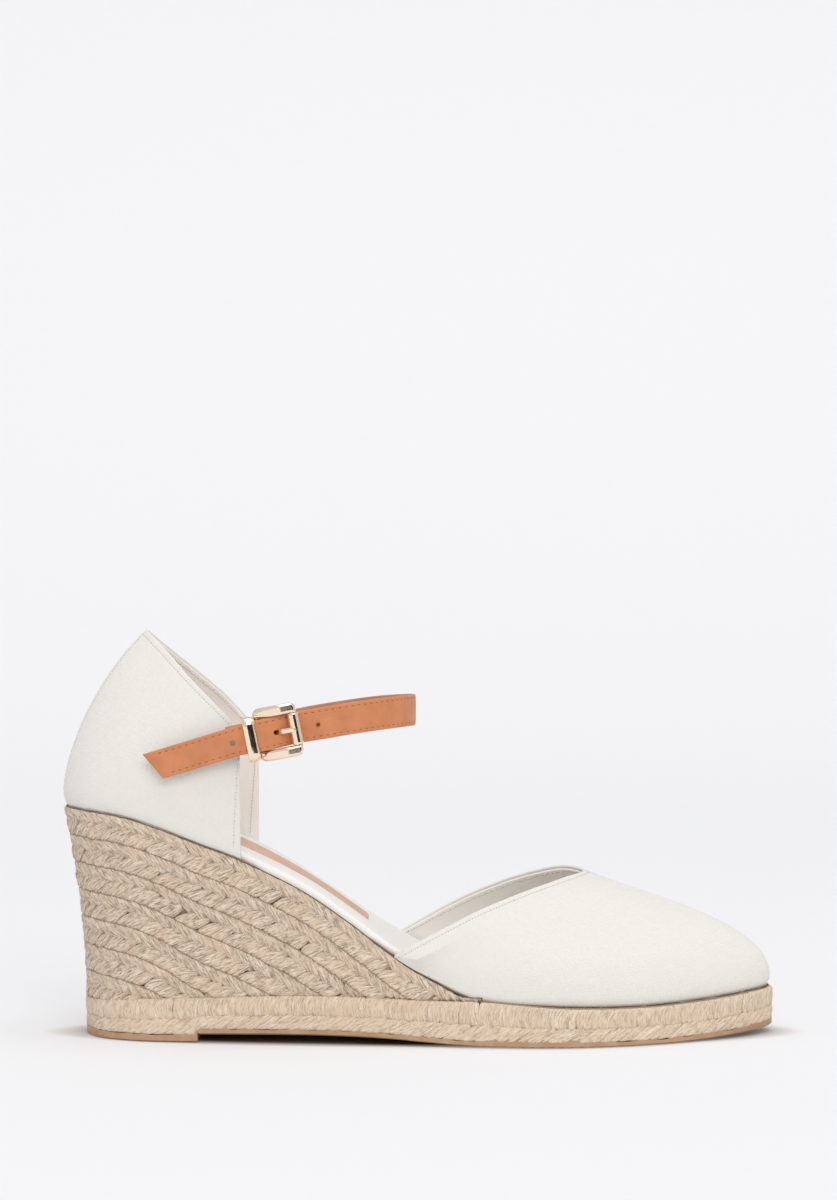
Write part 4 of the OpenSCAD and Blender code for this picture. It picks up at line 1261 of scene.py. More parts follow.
@dataclass(frozen=True)
class Upper:
    """Canvas vamp and quarters with their linings, edges and stitches."""

    canvas: float = 1.0
    lining: float = 0.8
    stiffener: float = 1.05
    edge_work: EdgeWork = EdgeWork()
    stitching: Stitching = Stitching()
    lining_drop: float = 0.55
    tuck: float = 1.1
    vamp_run: float = 170.0
    quarter_run: float = 68.0
    close_rows: float = 6.6
    close_share: float = 0.6
    longest: float = 60.0

    def rows_from_top(self) -> np.ndarray:
        """Distances from the top edge at which a sheet has rows: close near the edge."""
        near = [0, 0.06, 0.16, 0.3, 0.5, 0.8, 1.1, 1.45, 1.8, 2.15, 2.5, 3, 4, 5, 5.8]
        return np.concatenate([near, [self.close_rows], np.linspace(7.6, self.longest, 36)])

    def grid_from_top(self, lines: np.ndarray, drop: float = 0.0) -> tuple[np.ndarray, np.ndarray]:
        """Resamples upright lines by their distance from the top edge.

        Args:
            lines: Lines of points from the feather edge up, as lines by points by 3.
            drop: How far below the top edge the sheet's own edge lies.

        Returns:
            Grid with rows from the feather edge up, and each point's distance from the edge.
        """
        close = self.close_rows
        short = self.rows_from_top()
        grid, away = [], []
        for line in lines:
            down = line[::-1]
            run = lengths(down)[-1] - drop
            limit = min(close, run * self.close_share)
            near = short * (limit / close)
            far = limit + (short - close) / (self.longest - close) * (run - limit)
            distance = np.where(short <= close, near, far)
            grid.append(resample(down, distance + drop)[::-1])
            away.append(distance[::-1])
        return np.array(grid), np.array(away)

    def sheet(self, parts: Parts, grid: np.ndarray, top: np.ndarray, side_edge: np.ndarray,
              sign: float, outer: float, inner: Any, work: Optional[EdgeWork],
              tuck: float = 0.0) -> np.ndarray:
        """Adds one sheet of cloth.

        Args:
            parts: Where the faces go.
            grid: Outer face of the upper.
            top: Distance of each point from the top edge.
            side_edge: Distance of each point from the sheet's own side edges.
            sign: Sign that turns the grid's normals outwards.
            outer: Depth of the sheet's outer face.
            inner: Depth of its inner face.
            work: How its edge is sewn, or None.
            tuck: How far the foot of the sheet turns inwards.

        Returns:
            The grid of the sheet's outer face.
        """
        normals = normals_of(grid, sign)
        distance = np.minimum(top, side_edge)
        middle, half = (outer + inner) / 2, (inner - outer) / 2
        shape = edge_round(distance, half)
        front = middle - half * shape
        back = middle + half * shape
        if work is not None:
            front = front + work.depth(distance) * rise(distance, 0, 0.6)
        foot = np.arange(grid.shape[1]) < 3
        turned = tuck * (1 - np.arange(grid.shape[1]) / 3) ** 2 * foot
        front = front + turned[None]
        back = np.maximum(back + turned[None], front + 0.05)
        shell(parts, grid, normals, front, back)
        return grid - normals * front[..., None]

    def over_stiffener(self, top: np.ndarray, share: np.ndarray, low: float, high: float
                       ) -> np.ndarray:
        """How much deeper a lining reaches where it covers the stiffener in the toe or heel.

        Args:
            top: Distance of each point from the top edge.
            share: Share of the way from the sheet's free edge to its middle, per column.
            low: Share at which the stiffener starts.
            high: Share at which it has its full thickness.

        Returns:
            Extra depth of the lining's inner face at each point.
        """
        up = 1 - top / top.max(axis=1, keepdims=True)
        return self.stiffener * rise(share, low, high)[:, None] * (1 - rise(up, 0.5, 0.82))

    def seam_line(self, face: np.ndarray, away: np.ndarray, distance: float) -> np.ndarray:
        """Line on a grid at a distance from its top edge.

        Args:
            face: Grid of points.
            away: Distance of each from the edge.
            distance: Distance of the line.

        Returns:
            One point per column.
        """
        found = []
        for column, far in zip(face, away):
            found.append([np.interp(distance, far[::-1], column[::-1, k]) for k in range(3)])
        return np.array(found)

    def edge_stations(self, length: float, count: int) -> np.ndarray:
        """Shares of a length, close together at its start."""
        near = np.array([0, 0.06, 0.16, 0.3, 0.5, 0.8, 1.2, 1.6, 2, 2.4, 3, 4, 5.5, self.close_rows])
        return np.concatenate([near / length, np.linspace(8 / length, 1, count)])

    def make_vamp(self) -> None:
        """Makes the vamp's canvas, its lining and its stitches."""
        w = self.edge_stations(self.vamp_run, 90)
        f = np.linspace(0, 1, 60)
        lines = np.concatenate([
            LAST.vamp(Side.OUTER, w, f), LAST.vamp(Side.INNER, w[:-1], f)[::-1],
        ])
        side_run = np.concatenate([w, w[:-1][::-1]])[:, None] * self.vamp_run
        grid, top = self.grid_from_top(lines)
        side_edge = np.broadcast_to(side_run, top.shape)
        parts = Parts()
        face = self.sheet(parts, grid, top, side_edge, 1.0, 0.0, self.canvas, self.edge_work,
                          self.tuck)
        place_piece(parts.mesh("vamp_upper", [CANVAS.made()]), Body.SHOE,
                    ["vamp_canvas"])
        inner_parts = Parts()
        low, low_top = self.grid_from_top(lines, self.lining_drop)
        depth = self.canvas + 0.03
        columns = np.concatenate([w, w[:-1][::-1]])
        far = depth + self.lining + self.over_stiffener(low_top, columns, 0.34, 0.6)
        back = self.sheet(inner_parts, low, low_top, side_edge, 1.0, depth, far, None, 0.4)
        place_piece(inner_parts.mesh("vamp_lining_cloth", [LINING.made()]), Body.SHOE,
                    ["vamp_lining"])
        threads = Parts()
        self.sew_both(threads, face, top, back, low_top, 1.0)
        place_piece(threads.mesh("vamp_stitches", [THREAD.made(), HOLE_SHADE.made()]), Body.SHOE)

    def sew_both(self, threads: Parts, face: np.ndarray, top: np.ndarray, back: np.ndarray,
                 low_top: np.ndarray, sign: float) -> None:
        """Sews a row through canvas and lining, seen on both faces.

        Args:
            threads: Where the faces go.
            face: Outer face of the canvas.
            top: Its distances from the top edge.
            back: Outer face of the lining.
            low_top: Its distances from its own edge.
            sign: Sign that turns normals outwards.
        """
        seam = self.edge_work.seam
        trim = slice(4, -4)
        line = self.seam_line(face, top, seam)[trim]
        normal = self.seam_line(normals_of(face, sign), top, seam)[trim]
        self.stitching.sew(threads, line, unit(normal))
        inside = self.seam_line(back, low_top, seam - self.lining_drop)[trim]
        self.stitching.sew(threads, inside - unit(normal) * (self.lining + 0.02), -unit(normal))

    def make_quarters(self) -> None:
        """Makes both quarters, the lining, and their stitches."""
        run = self.quarter_run
        w = self.edge_stations(run, 60)
        f = np.linspace(0, 1, 80)
        threads = Parts()
        for side, name, node in (
            (Side.OUTER, "quarter_outer", "quarter_outer_side"),
            (Side.INNER, "quarter_inner", "quarter_inner_side"),
        ):
            lines = LAST.quarter(side, w, f)
            grid, top = self.grid_from_top(lines)
            side_run = np.broadcast_to((w * run)[:, None], top.shape)
            parts = Parts()
            sign = side.value * 1.0
            face = self.sheet(parts, grid, top, side_run, sign, 0.0, self.canvas,
                              self.edge_work, self.tuck)
            place_piece(parts.mesh(name, [CANVAS.made()]), Body.SHOE, [node])
            self.sew_quarter(threads, face, top, w * run, sign)
        outer = LAST.quarter(Side.OUTER, w, f)
        inner = LAST.quarter(Side.INNER, w[:-1], f)[::-1]
        lines = np.concatenate([outer, inner])
        low, low_top = self.grid_from_top(lines, self.lining_drop)
        along = np.concatenate([w * run, (w[:-1] * run)[::-1]])[:, None]
        side_edge = np.broadcast_to(np.maximum(along - self.lining_drop, 0), low_top.shape)
        inner_parts = Parts()
        depth = self.canvas + 0.03
        columns = np.concatenate([w, w[:-1][::-1]])
        far = depth + self.lining + self.over_stiffener(low_top, columns, 0.12, 0.42)
        back = self.sheet(inner_parts, low, low_top, side_edge, -1.0, depth, far, None, 0.4)
        place_piece(inner_parts.mesh("quarter_lining_cloth", [LINING.made()]), Body.SHOE,
                    ["quarter_lining"])
        normal = normals_of(low, -1.0)
        seam = self.edge_work.seam - self.lining_drop
        inside = self.seam_line(back - normal * (self.lining + 0.02), low_top, seam)[6:-6]
        facing = unit(self.seam_line(normal, low_top, seam)[6:-6])
        self.stitching.sew(threads, inside, -facing)
        for column in (8, len(low) - 9):
            line = (back - normal * (self.lining + 0.02))[column, 4:-9]
            self.stitching.sew(threads, line, -normal[column, 4:-9])
        place_piece(threads.mesh("quarter_stitches", [THREAD.made(), HOLE_SHADE.made()]), Body.SHOE)

    def sew_quarter(self, threads: Parts, face: np.ndarray, top: np.ndarray, run: np.ndarray,
                    sign: float) -> None:
        """Sews the top edge, the front edge and beside the back seam of one quarter.

        Args:
            threads: Where the faces go.
            face: Outer face of the quarter.
            top: Distances from the top edge.
            run: Distance of each column from the front edge.
            sign: Sign that turns normals outwards.
        """
        seam = self.edge_work.seam
        normal = normals_of(face, sign)
        column = int(np.argmin(np.abs(run - seam)))
        line = self.seam_line(face, top, seam)[column:-1]
        self.stitching.sew(threads, line, unit(self.seam_line(normal, top, seam)[column:-1]))
        keep = top[column] > seam
        self.stitching.sew(threads, face[column][keep][3:], normal[column][keep][3:])
        beside = int(np.argmin(np.abs(run - (run[-1] - seam))))
        keep = top[beside] > seam
        self.stitching.sew(threads, face[beside][keep][3:], normal[beside][keep][3:])

    def make_feather_line(self) -> None:
        """Makes the thin dark line where canvas meets jute."""
        t = np.concatenate([np.linspace(0, 1, 12) ** 1.4, np.linspace(1, 14, 120)[1:],
                            15 - np.linspace(1, 0, 12)[1:] ** 1.4])
        outer = LAST.inset_edge(Side.OUTER, Edge.FEATHER, t, 0.55)[::-1, :3]
        inner = LAST.inset_edge(Side.INNER, Edge.FEATHER, t, 0.55)[:, :3]
        line = np.concatenate([outer[:-1], inner[:-1]])
        tangent = unit(np.roll(line, -1, axis=0) - np.roll(line, 1, axis=0))
        across = unit(np.cross(tangent, [0, 0, 1.0]))
        up = np.cross(across, tangent)
        phi = 2 * math.pi * np.arange(8) / 8
        radius = 0.20 + 0.03 * np.sin(np.arange(len(line)) * 1.3)
        ring = across[:, None] * np.cos(phi)[:, None] + up[:, None] * np.sin(phi)[:, None]
        parts = Parts()
        parts.add_tubes((line[:, None] + ring * radius[:, None, None])[None], closed=True)
        place_piece(parts.mesh("feather_line", [FEATHER_LINE.made()]), Body.SHOE)

    def make(self) -> None:
        """Makes all pieces of the upper."""
        self.make_vamp()
        self.make_quarters()
        self.make_feather_line()


# ---------------------------------------------------------------- sole and insole


@dataclass(frozen=True)
class Sole:
    """Rubber heel pad and outsole."""

    edge: float = 0.7
    tread_pitch: float = 3.2
    tread_depth: float = 0.3
    tread_zigzag: float = 1.4
    tread_step: float = 5.0

    def stations(self, low: float, high: float, count: int) -> np.ndarray:
        """Stations between two of them, closer together where they touch an end of the shoe."""
        t = np.linspace(0, 1, count)
        if low <= 0:
            t = t**1.6
        if high >= LAST.toe:
            t = 1 - (1 - t) ** 1.6
        return low + (high - low) * t

    def slab(self, parts: Parts, t: np.ndarray, top: np.ndarray, low: np.ndarray, wave: np.ndarray
             ) -> None:
        """Adds a slab across the sole.

        Args:
            parts: Where the faces go.
            t: Stations.
            top: Heights of its top on the outer and inner side, as stations by 2.
            low: Heights of its underside.
            wave: Height that the rubber creeps up the rope at its edge.
        """
        across = np.linspace(-1, 1, 33)
        a = LAST.edge(Side.OUTER, Edge.WELT, t)[:, :2]
        b = LAST.edge(Side.INNER, Edge.WELT, t)[:, :2]
        width = np.linalg.norm(b - a, axis=1)
        rings = []
        for k in range(len(t)):
            share = (across + 1) / 2
            xy = a[k] + (b[k] - a[k]) * share[:, None]
            away = width[k] / 2 * (1 - np.abs(across))
            z_top = top[k, 0] + (top[k, 1] - top[k, 0]) * share
            z_low = low[k, 0] + (low[k, 1] - low[k, 0]) * share
            shape = edge_round(away, self.edge)
            lift = wave[k] * (1 - rise(away, 0.2, 2.5))
            turn = np.abs(np.mod(xy[:, 1] / self.tread_step, 2) - 1)
            zigzag = xy[:, 0] + self.tread_zigzag * turn
            tread = np.clip(np.sin(2 * math.pi * zigzag / self.tread_pitch) * 2, -1, 1)
            cut = self.tread_depth * (0.5 - 0.5 * tread) * rise(away, 2.0, 3.0)
            under = z_low + cut + self.edge * (1 - shape)
            over = np.maximum(z_top + lift - 0.4 * (1 - shape), under + 0.05)
            upper = np.column_stack([xy, over])
            lower = np.column_stack([xy, under])
            rings.append(np.concatenate([upper, lower[::-1]]))
        parts.add_tubes(np.array(rings)[None])

    def make(self) -> None:
        """Makes both rubber pieces."""
        rng = np.random.default_rng(3)
        t = self.stations(0.0005, LAST.pad_end, 90)
        size = (len(t), 2)
        creep = 0.2 + 0.2 * np.sin(t * 9) * np.sin(t * 3.1)
        creep = creep + 1.7 * rise(t, LAST.pad_end - 0.9, LAST.pad_end)
        parts = Parts()
        self.slab(parts, t, np.full(size, LAST.pad_height), np.zeros(size), creep)
        place_piece(parts.mesh("heel_rubber", [RUBBER.made()], 50), Body.SHOE,
                    ["heel_pad"])
        t = self.stations(LAST.pad_end + 0.01, LAST.toe - 0.0005, 420)
        low = np.column_stack([
            LAST.edge(side, Edge.WELT, t)[:, 3] for side in (Side.OUTER, Side.INNER)
        ])
        noise = np.convolve(rng.normal(0, 1, len(t) + 12), np.hanning(13) / 3.2, "valid")
        creep = 0.55 + 0.35 * np.clip(noise, -1.2, 1.6)
        creep = creep + 1.1 * np.exp(-(((t - 10.6) / 0.55) ** 2))
        parts = Parts()
        self.slab(parts, t, low + LAST.outsole_height, low, creep[:len(t)])
        place_piece(parts.mesh("outsole_rubber", [RUBBER.made()], 50), Body.SHOE,
                    ["outsole"])


@dataclass(frozen=True)
class Insole:
    """Canvas cover with the foam in it, as one padded piece, and its leather heel sock."""

    glue: float = 0.15
    thickness: float = 2.9
    sock: float = 0.5
    edge: float = 0.9
    crown: float = 0.1
    sock_half: float = 11.5
    sock_narrow: float = 3.6
    sock_run: tuple[float, float] = (0.95, 7.4)
    sock_ends: tuple[float, float] = (9.0, 1.4)
    press: tuple[float, float, float] = (0.14, 1.6, 0.35)
    waist_dip: float = 1.4

    def inset(self, t: np.ndarray) -> np.ndarray:
        """How far the insole lies inside the feather edge: it reaches it only in the waist."""
        return np.interp(t, [0, 4.7, 5.4, 7.4, 8.4, 15], [3.1, 3.1, 0.4, 0.4, 3.3, 3.3])

    def frame_at(self, t: np.ndarray) -> tuple[np.ndarray, np.ndarray]:
        """Outer and inner ends of the insole at stations t, at its underside."""
        a = LAST.inset_edge(Side.OUTER, Edge.FEATHER, t, self.inset(t))[:, :3]
        b = LAST.inset_edge(Side.INNER, Edge.FEATHER, t, self.inset(t))[:, :3]
        return a + [0, 0, self.glue], b + [0, 0, self.glue]

    def dip(self, t: np.ndarray, share: np.ndarray) -> np.ndarray:
        """How much thinner the insole is in the waist, more towards the inner side."""
        bell = rise(t, 5.0, 6.3) * (1 - rise(t, 6.9, 8.2))
        return self.waist_dip * bell[:, None] * np.clip(share, 0, 1) ** 2

    def top_point(self, t: np.ndarray, across: np.ndarray) -> np.ndarray:
        """Points on the insole's top, a distance across from its middle line."""
        a, b = self.frame_at(t)
        share = (across - a[:, 1:2]) / (b[:, 1:2] - a[:, 1:2])
        p = a[:, None] + (b - a)[:, None] * share[..., None]
        half = (b[:, 1:2] - a[:, 1:2]) / 2
        away = half - np.abs(across - (a[:, 1:2] + b[:, 1:2]) / 2)
        p[..., 2] += self.thickness + self.crown * rise(away, 0, 8) - self.dip(t, share)
        p[..., 1] = across
        return p

    def make(self) -> None:
        """Makes the cover and the sock."""
        t = np.concatenate([np.linspace(0.001, 1, 16) ** 1.5, np.linspace(1, 14, 150)[1:],
                            15 - np.linspace(1, 0.001, 16)[1:] ** 1.5])
        a, b = self.frame_at(t)
        s = np.concatenate([[0, 0.004, 0.012, 0.025, 0.04, 0.07], np.linspace(0.12, 0.88, 17),
                            [0.93, 0.96, 0.975, 0.988, 0.996, 1]])
        xy = a[:, None] + (b - a)[:, None] * s[None, :, None]
        width = np.linalg.norm(b - a, axis=1)[:, None]
        away = width * np.minimum(s, 1 - s)[None]
        over = self.thickness - self.edge * (1 - edge_round(away, self.edge))
        over = over + self.crown * rise(away, 0.5, 8) - self.dip(t, s[None])
        upper = xy + over[..., None] * [0, 0, 1]
        lower = xy + np.full_like(over, 0.02)[..., None] * [0, 0, 1]
        parts = Parts()
        parts.add_slab(upper, lower)
        cover = parts.mesh("insole_canvas", [INSOLE_CANVAS.made()])
        place_piece(cover, Body.SHOE, ["insole_cover", "insole_foam"])
        self.make_sock()

    def make_sock(self) -> None:
        """Makes the leather strip with its rounded ends and a pressed line near its edge."""
        low, high = self.sock_run
        t = low + (high - low) * (1 - np.cos(np.linspace(0, math.pi, 90))) / 2
        middle = self.top_point(t, np.zeros((len(t), 1)))[:, 0]
        run = lengths(middle)
        heel, front = self.sock_ends
        half = self.sock_half - self.sock_narrow * rise(run, 20.0, run[-1])
        back = np.clip(1 - run / heel, 0, 1)
        ahead = np.clip(1 - (run[-1] - run) / front, 0, 1)
        half = half - heel * 0.9 * (1 - np.sqrt(1 - back**2 * 0.999))
        half = half - front * (1 - np.sqrt(1 - ahead**2 * 0.999))
        s = np.sin(np.linspace(-math.pi / 2, math.pi / 2, 41))
        across = half[:, None] * s[None] - 0.7 * (self.sock_half - half)[:, None]
        ends = np.minimum(run, run[-1] - run)[:, None]
        away = np.minimum(half[:, None] * (1 - np.abs(s))[None], ends)
        base = self.top_point(t, across)
        depth, place, reach = self.press
        press = depth * np.exp(-(((away - place) / reach) ** 2))
        over = self.sock * edge_round(away, 0.5) - press + 0.05
        upper = base + over[..., None] * [0, 0, 1]
        lower = base - np.full_like(over, 0.05)[..., None] * [0, 0, 1]
        parts = Parts()
        parts.add_slab(upper, lower)
        place_piece(parts.mesh("heel_sock_leather", [SOCK_LEATHER.made()]), Body.SHOE,
                    ["heel_sock"])


# ---------------------------------------------------------------- strap and buckle


@dataclass(frozen=True)
class BuckleFrame:
    """Place and tilt of the buckle: x along the strap, -y outwards, z across the strap."""

    at: tuple[float, float, float] = (41.1, -28.5, 102.9)
    tilt: float = 11.5

    def world(self, local: np.ndarray) -> np.ndarray:
        """Points of the buckle's own frame in the shoe's frame."""
        c, s = math.cos(math.radians(self.tilt)), math.sin(math.radians(self.tilt))
        turn = np.array([[c, 0, s], [0, 1, 0], [-s, 0, c]])
        return local @ turn + np.array(self.at)


def cut_holes(piece: bpy.types.Object, cutters: Parts) -> None:
    """Cuts closed solids out of a piece.

    Args:
        piece: The piece.
        cutters: The solids.
    """
    tool = cutters.mesh("cutter", [])
    change = piece.modifiers.new("holes", "BOOLEAN")
    change.operation = "DIFFERENCE"
    change.solver = "EXACT"
    change.object = tool
    bpy.context.view_layer.update()
    graph = bpy.context.evaluated_depsgraph_get()
    cut = bpy.data.meshes.new_from_object(piece.evaluated_get(graph))
    old = piece.data
    piece.modifiers.clear()
    piece.data = cut
    bpy.data.meshes.remove(old)
    bpy.data.objects.remove(tool)


def rod(start: np.ndarray, end: np.ndarray, radius: float, sides: int = 28) -> np.ndarray:
    """Rings of a plain round rod, for cutters and bars.

    Args:
        start: Its first end.
        end: Its second end.
        radius: Its radius.
        sides: Points round it.

    Returns:
        Rings, as 1 by rings by points by 3.
    """
    axis = unit(end - start)
    side = unit(np.cross(axis, [0.3, 0.2, 1.0]))
    up = np.cross(axis, side)
    phi = 2 * math.pi * np.arange(sides) / sides
    ring = side * np.cos(phi)[:, None] + up * np.sin(phi)[:, None]
    return np.stack([start + ring * radius, end + ring * radius])[None]


@dataclass(frozen=True)
class Strap:
    """Ankle strap: leather, lining, stitches and punched holes."""

    buckle: BuckleFrame = BuckleFrame()
    width: float = 10.0
    leather: float = 1.3
    lining: float = 0.7
    slant: float = 4.3
    slant_run: float = 14.0
    seam: float = 1.25
    groove: float = 0.06
    groove_half: float = 0.35
    thin_stations: tuple[float, float] = (15.8, 16.9)
    thin_share: float = 0.6
    open_hole: tuple[float, float, float] = (31.7, 100.5, 0.95)
    blind_hole: tuple[float, float, float] = (60.0, 106.4, 0.45)
    prong_hole: tuple[float, float, float] = (5.0, 6.4, 0.85)
    path: np.ndarray = field(default_factory=lambda: rows(
        (3.1, -32.6, 92.1), (17, -32.9, 96.3), (29, -32.8, 100), (35.5, -32.6, 101.8),
        (41.1, -32.1, 102.95), (46.9, -30.5, 104.25), (52.4, -28.5, 105.4), (60.6, -27.6, 106.7),
        (70, -25.4, 108.2), (80, -19.5, 109.3), (88, -10.5, 109.8), (91.2, 0, 109.6),
        (88, 10.5, 109), (79.5, 19.5, 107.9), (68, 25.5, 106), (56, 28, 103.9),
        (43.5, 27.8, 101.6), (37, 26.15, 100.6), (30.5, 26.6, 99.4)))
    still: tuple[float, float, float] = (36.0, 28.5, 100.5)
    free: tuple[float, float, float] = (44.0, 18.5, 101.5)

    def stations(self) -> np.ndarray:
        """Stations along the strap, close at the tip."""
        return np.concatenate([
            [0, 0.005, 0.012, 0.025, 0.04, 0.06], np.linspace(0.1, len(self.path) - 1, 330),
        ])

    def line(self, t: np.ndarray) -> tuple[np.ndarray, np.ndarray, np.ndarray]:
        """Centre, upward direction across and outward direction at stations t."""
        guide = guided(self.path)
        centre = through(guide, t)
        along = unit(through(guide, np.minimum(t + 0.02, len(self.path) - 1))
                     - through(guide, np.maximum(t - 0.02, 0)))
        up = np.array([0.0, 0, 1])
        across = unit(up - along * (along @ up)[:, None])
        return centre, across, np.cross(along, across)

    def half(self, t: np.ndarray) -> np.ndarray:
        """Half width at stations t."""
        stations = [0, 2.5, 3.5, 6, 8, 15, 16, 18]
        return self.width / 2 + np.interp(t, stations, [-0.15, -0.1, 0.3, 0.3, 0.35, 0.35, 0, 0])

    def thinning(self, t: np.ndarray) -> np.ndarray:
        """Share of the full thickness: less where the strap runs in behind the canvas."""
        return 1 - self.thin_share * rise(t, *self.thin_stations)

    def layer(self, parts: Parts, low: float, high: float, trim: float, padded: float) -> None:
        """Adds one layer of leather.

        Args:
            parts: Where the faces go.
            low: Height of its inner face over the strap's middle.
            high: Height of its outer face.
            trim: How much narrower it is than the strap, on each side.
            padded: Swell of its outer face between the seams.
        """
        t = self.stations()
        centre, across, out = self.line(t)
        run = lengths(centre)
        v = np.sin(np.linspace(-math.pi / 2, math.pi / 2, 35))
        half = (self.half(t) - trim)[:, None]
        offset = half * v[None]
        slope = np.clip(1 - run / self.slant_run, 0, 1)[:, None]
        tip = self.slant * (0.5 - offset / (2 * half)) * slope
        ahead = (tip + trim * (run < 8)[:, None])[..., None]
        forward = unit(np.gradient(centre, axis=0))[:, None] * ahead
        base = centre[:, None] + across[:, None] * offset[..., None] + forward
        away = np.minimum(half - np.abs(offset), run[:, None])
        middle, thick = (low + high) / 2, (high - low) / 2
        shape = edge_round(away, thick)
        pull = np.exp(-(((away - self.seam) / self.groove_half) ** 2))
        groove = self.groove * pull * (padded > 0)
        swell = padded * rise(away, 0.4, 2.6)
        top = middle + thick * shape + swell - groove
        low_face = middle - thick * shape
        thin = self.thinning(t)[:, None]
        upper = base + out[:, None] * (top * thin)[..., None]
        lower = base + out[:, None] * (low_face * thin)[..., None]
        parts.add_slab(upper, lower)

    def sew(self, parts: Parts, low: float, high: float) -> None:
        """Sews both edges and the slanted tip, on both faces.

        Args:
            parts: Where the faces go.
            low: Height of the inner face over the strap's middle.
            high: Height of the outer face.
        """
        t = np.linspace(0.05, len(self.path) - 2.6, 420)
        centre, across, out = self.line(t)
        run = lengths(centre)
        thin = self.thinning(t)[:, None]
        thread = Stitching(pitch=2.3, length=1.35, radius=0.17, proud=0.0, pit=0.22)
        forward = unit(np.gradient(centre, axis=0))
        for face, sign in ((high - 0.06, 1.0), (low, -1.0)):
            for edge in (1, -1):
                offset = edge * (self.half(t) - self.seam)
                share = self.slant * (0.5 - offset / (2 * self.half(t)))
                tip = share * np.clip(1 - run / self.slant_run, 0, 1)
                line = centre + across * offset[:, None] + forward * tip[:, None]
                thread.sew(parts, (line + out * face * thin)[6:], (out * sign)[6:])
            edge = np.linspace(1, -1, 24)[:, None] * (self.half(t[:1]) - self.seam)
            share = self.slant * (0.5 - edge / (2 * self.half(t[:1])))
            line = centre[0] + across[0] * edge + forward[0] * (share + self.seam)
            thread.sew(parts, line + out[0] * face, np.repeat(out[:1] * sign, 24, axis=0))

    def cutters(self, blind: bool) -> Parts:
        """Rods and a slot that cut the holes.

        Args:
            blind: Whether the blind hole is among them.

        Returns:
            The solids to cut out.
        """
        parts = Parts()
        for x, z, radius in (self.open_hole, self.blind_hole)[: 1 + blind]:
            parts.add_tubes(rod(np.array([x, -38.0, z]), np.array([x, -24.0, z]), radius))
        first, last, radius = self.prong_hole
        phi = np.linspace(0, 2 * math.pi, 28, endpoint=False)
        x = np.where(np.cos(phi) < 0, first, last) + radius * np.cos(phi)
        ring = np.column_stack([x, np.zeros(28), radius * np.sin(phi)])
        ends = [self.buckle.world(ring + [0, y, 0]) for y in (-8.0, 3.0)]
        parts.add_tubes(np.stack(ends)[None])
        return parts

    def plug(self, parts: Parts) -> None:
        """Adds the blind hole's bottom, dark with painted shade."""
        x, z, radius = self.blind_hole
        t = np.linspace(0, len(self.path) - 1, 400)
        centre, _, out = self.line(t)
        near = int(np.argmin(np.abs(centre[:120, 0] - x)))
        spot = np.array([x, centre[near, 1], z])
        low, high = spot - out[near] * 0.45, spot - out[near] * 0.1
        parts.add_tubes(rod(low, high, radius * 1.3), mark=1)

    def hold(self, piece: bpy.types.Object, nodes: Sequence[str] = ()) -> None:
        """Bakes a piece's placement into its mesh and hides the CAD nodes that it stands for."""
        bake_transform(piece)
        if nodes:
            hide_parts(*nodes)
        LOG.info("%s: %d faces, bends at the strap's root", piece.name, len(piece.data.polygons))

    def make(self) -> None:
        """Makes the strap's pieces."""
        half = (self.leather + self.lining) / 2
        parts = Parts()
        self.layer(parts, half - self.leather + 0.02, half, 0.0, 0.12)
        piece = parts.mesh("strap_outer", [STRAP_LEATHER.made()], 60)
        cut_holes(piece, self.cutters(True))
        self.hold(piece, ["ankle_strap"])
        parts = Parts()
        self.layer(parts, -half, half - self.leather - 0.02, 0.12, 0.0)
        piece = parts.mesh("strap_inside", [SHADED_LINING_LEATHER.made()], 60)
        cut_holes(piece, self.cutters(False))
        self.hold(piece, ["strap_lining"])
        parts = Parts()
        self.sew(parts, -half, half)
        self.plug(parts)
        self.hold(parts.mesh("strap_stitches", [TAN_THREAD.made(), STRAP_HOLE_SHADE.made()]))


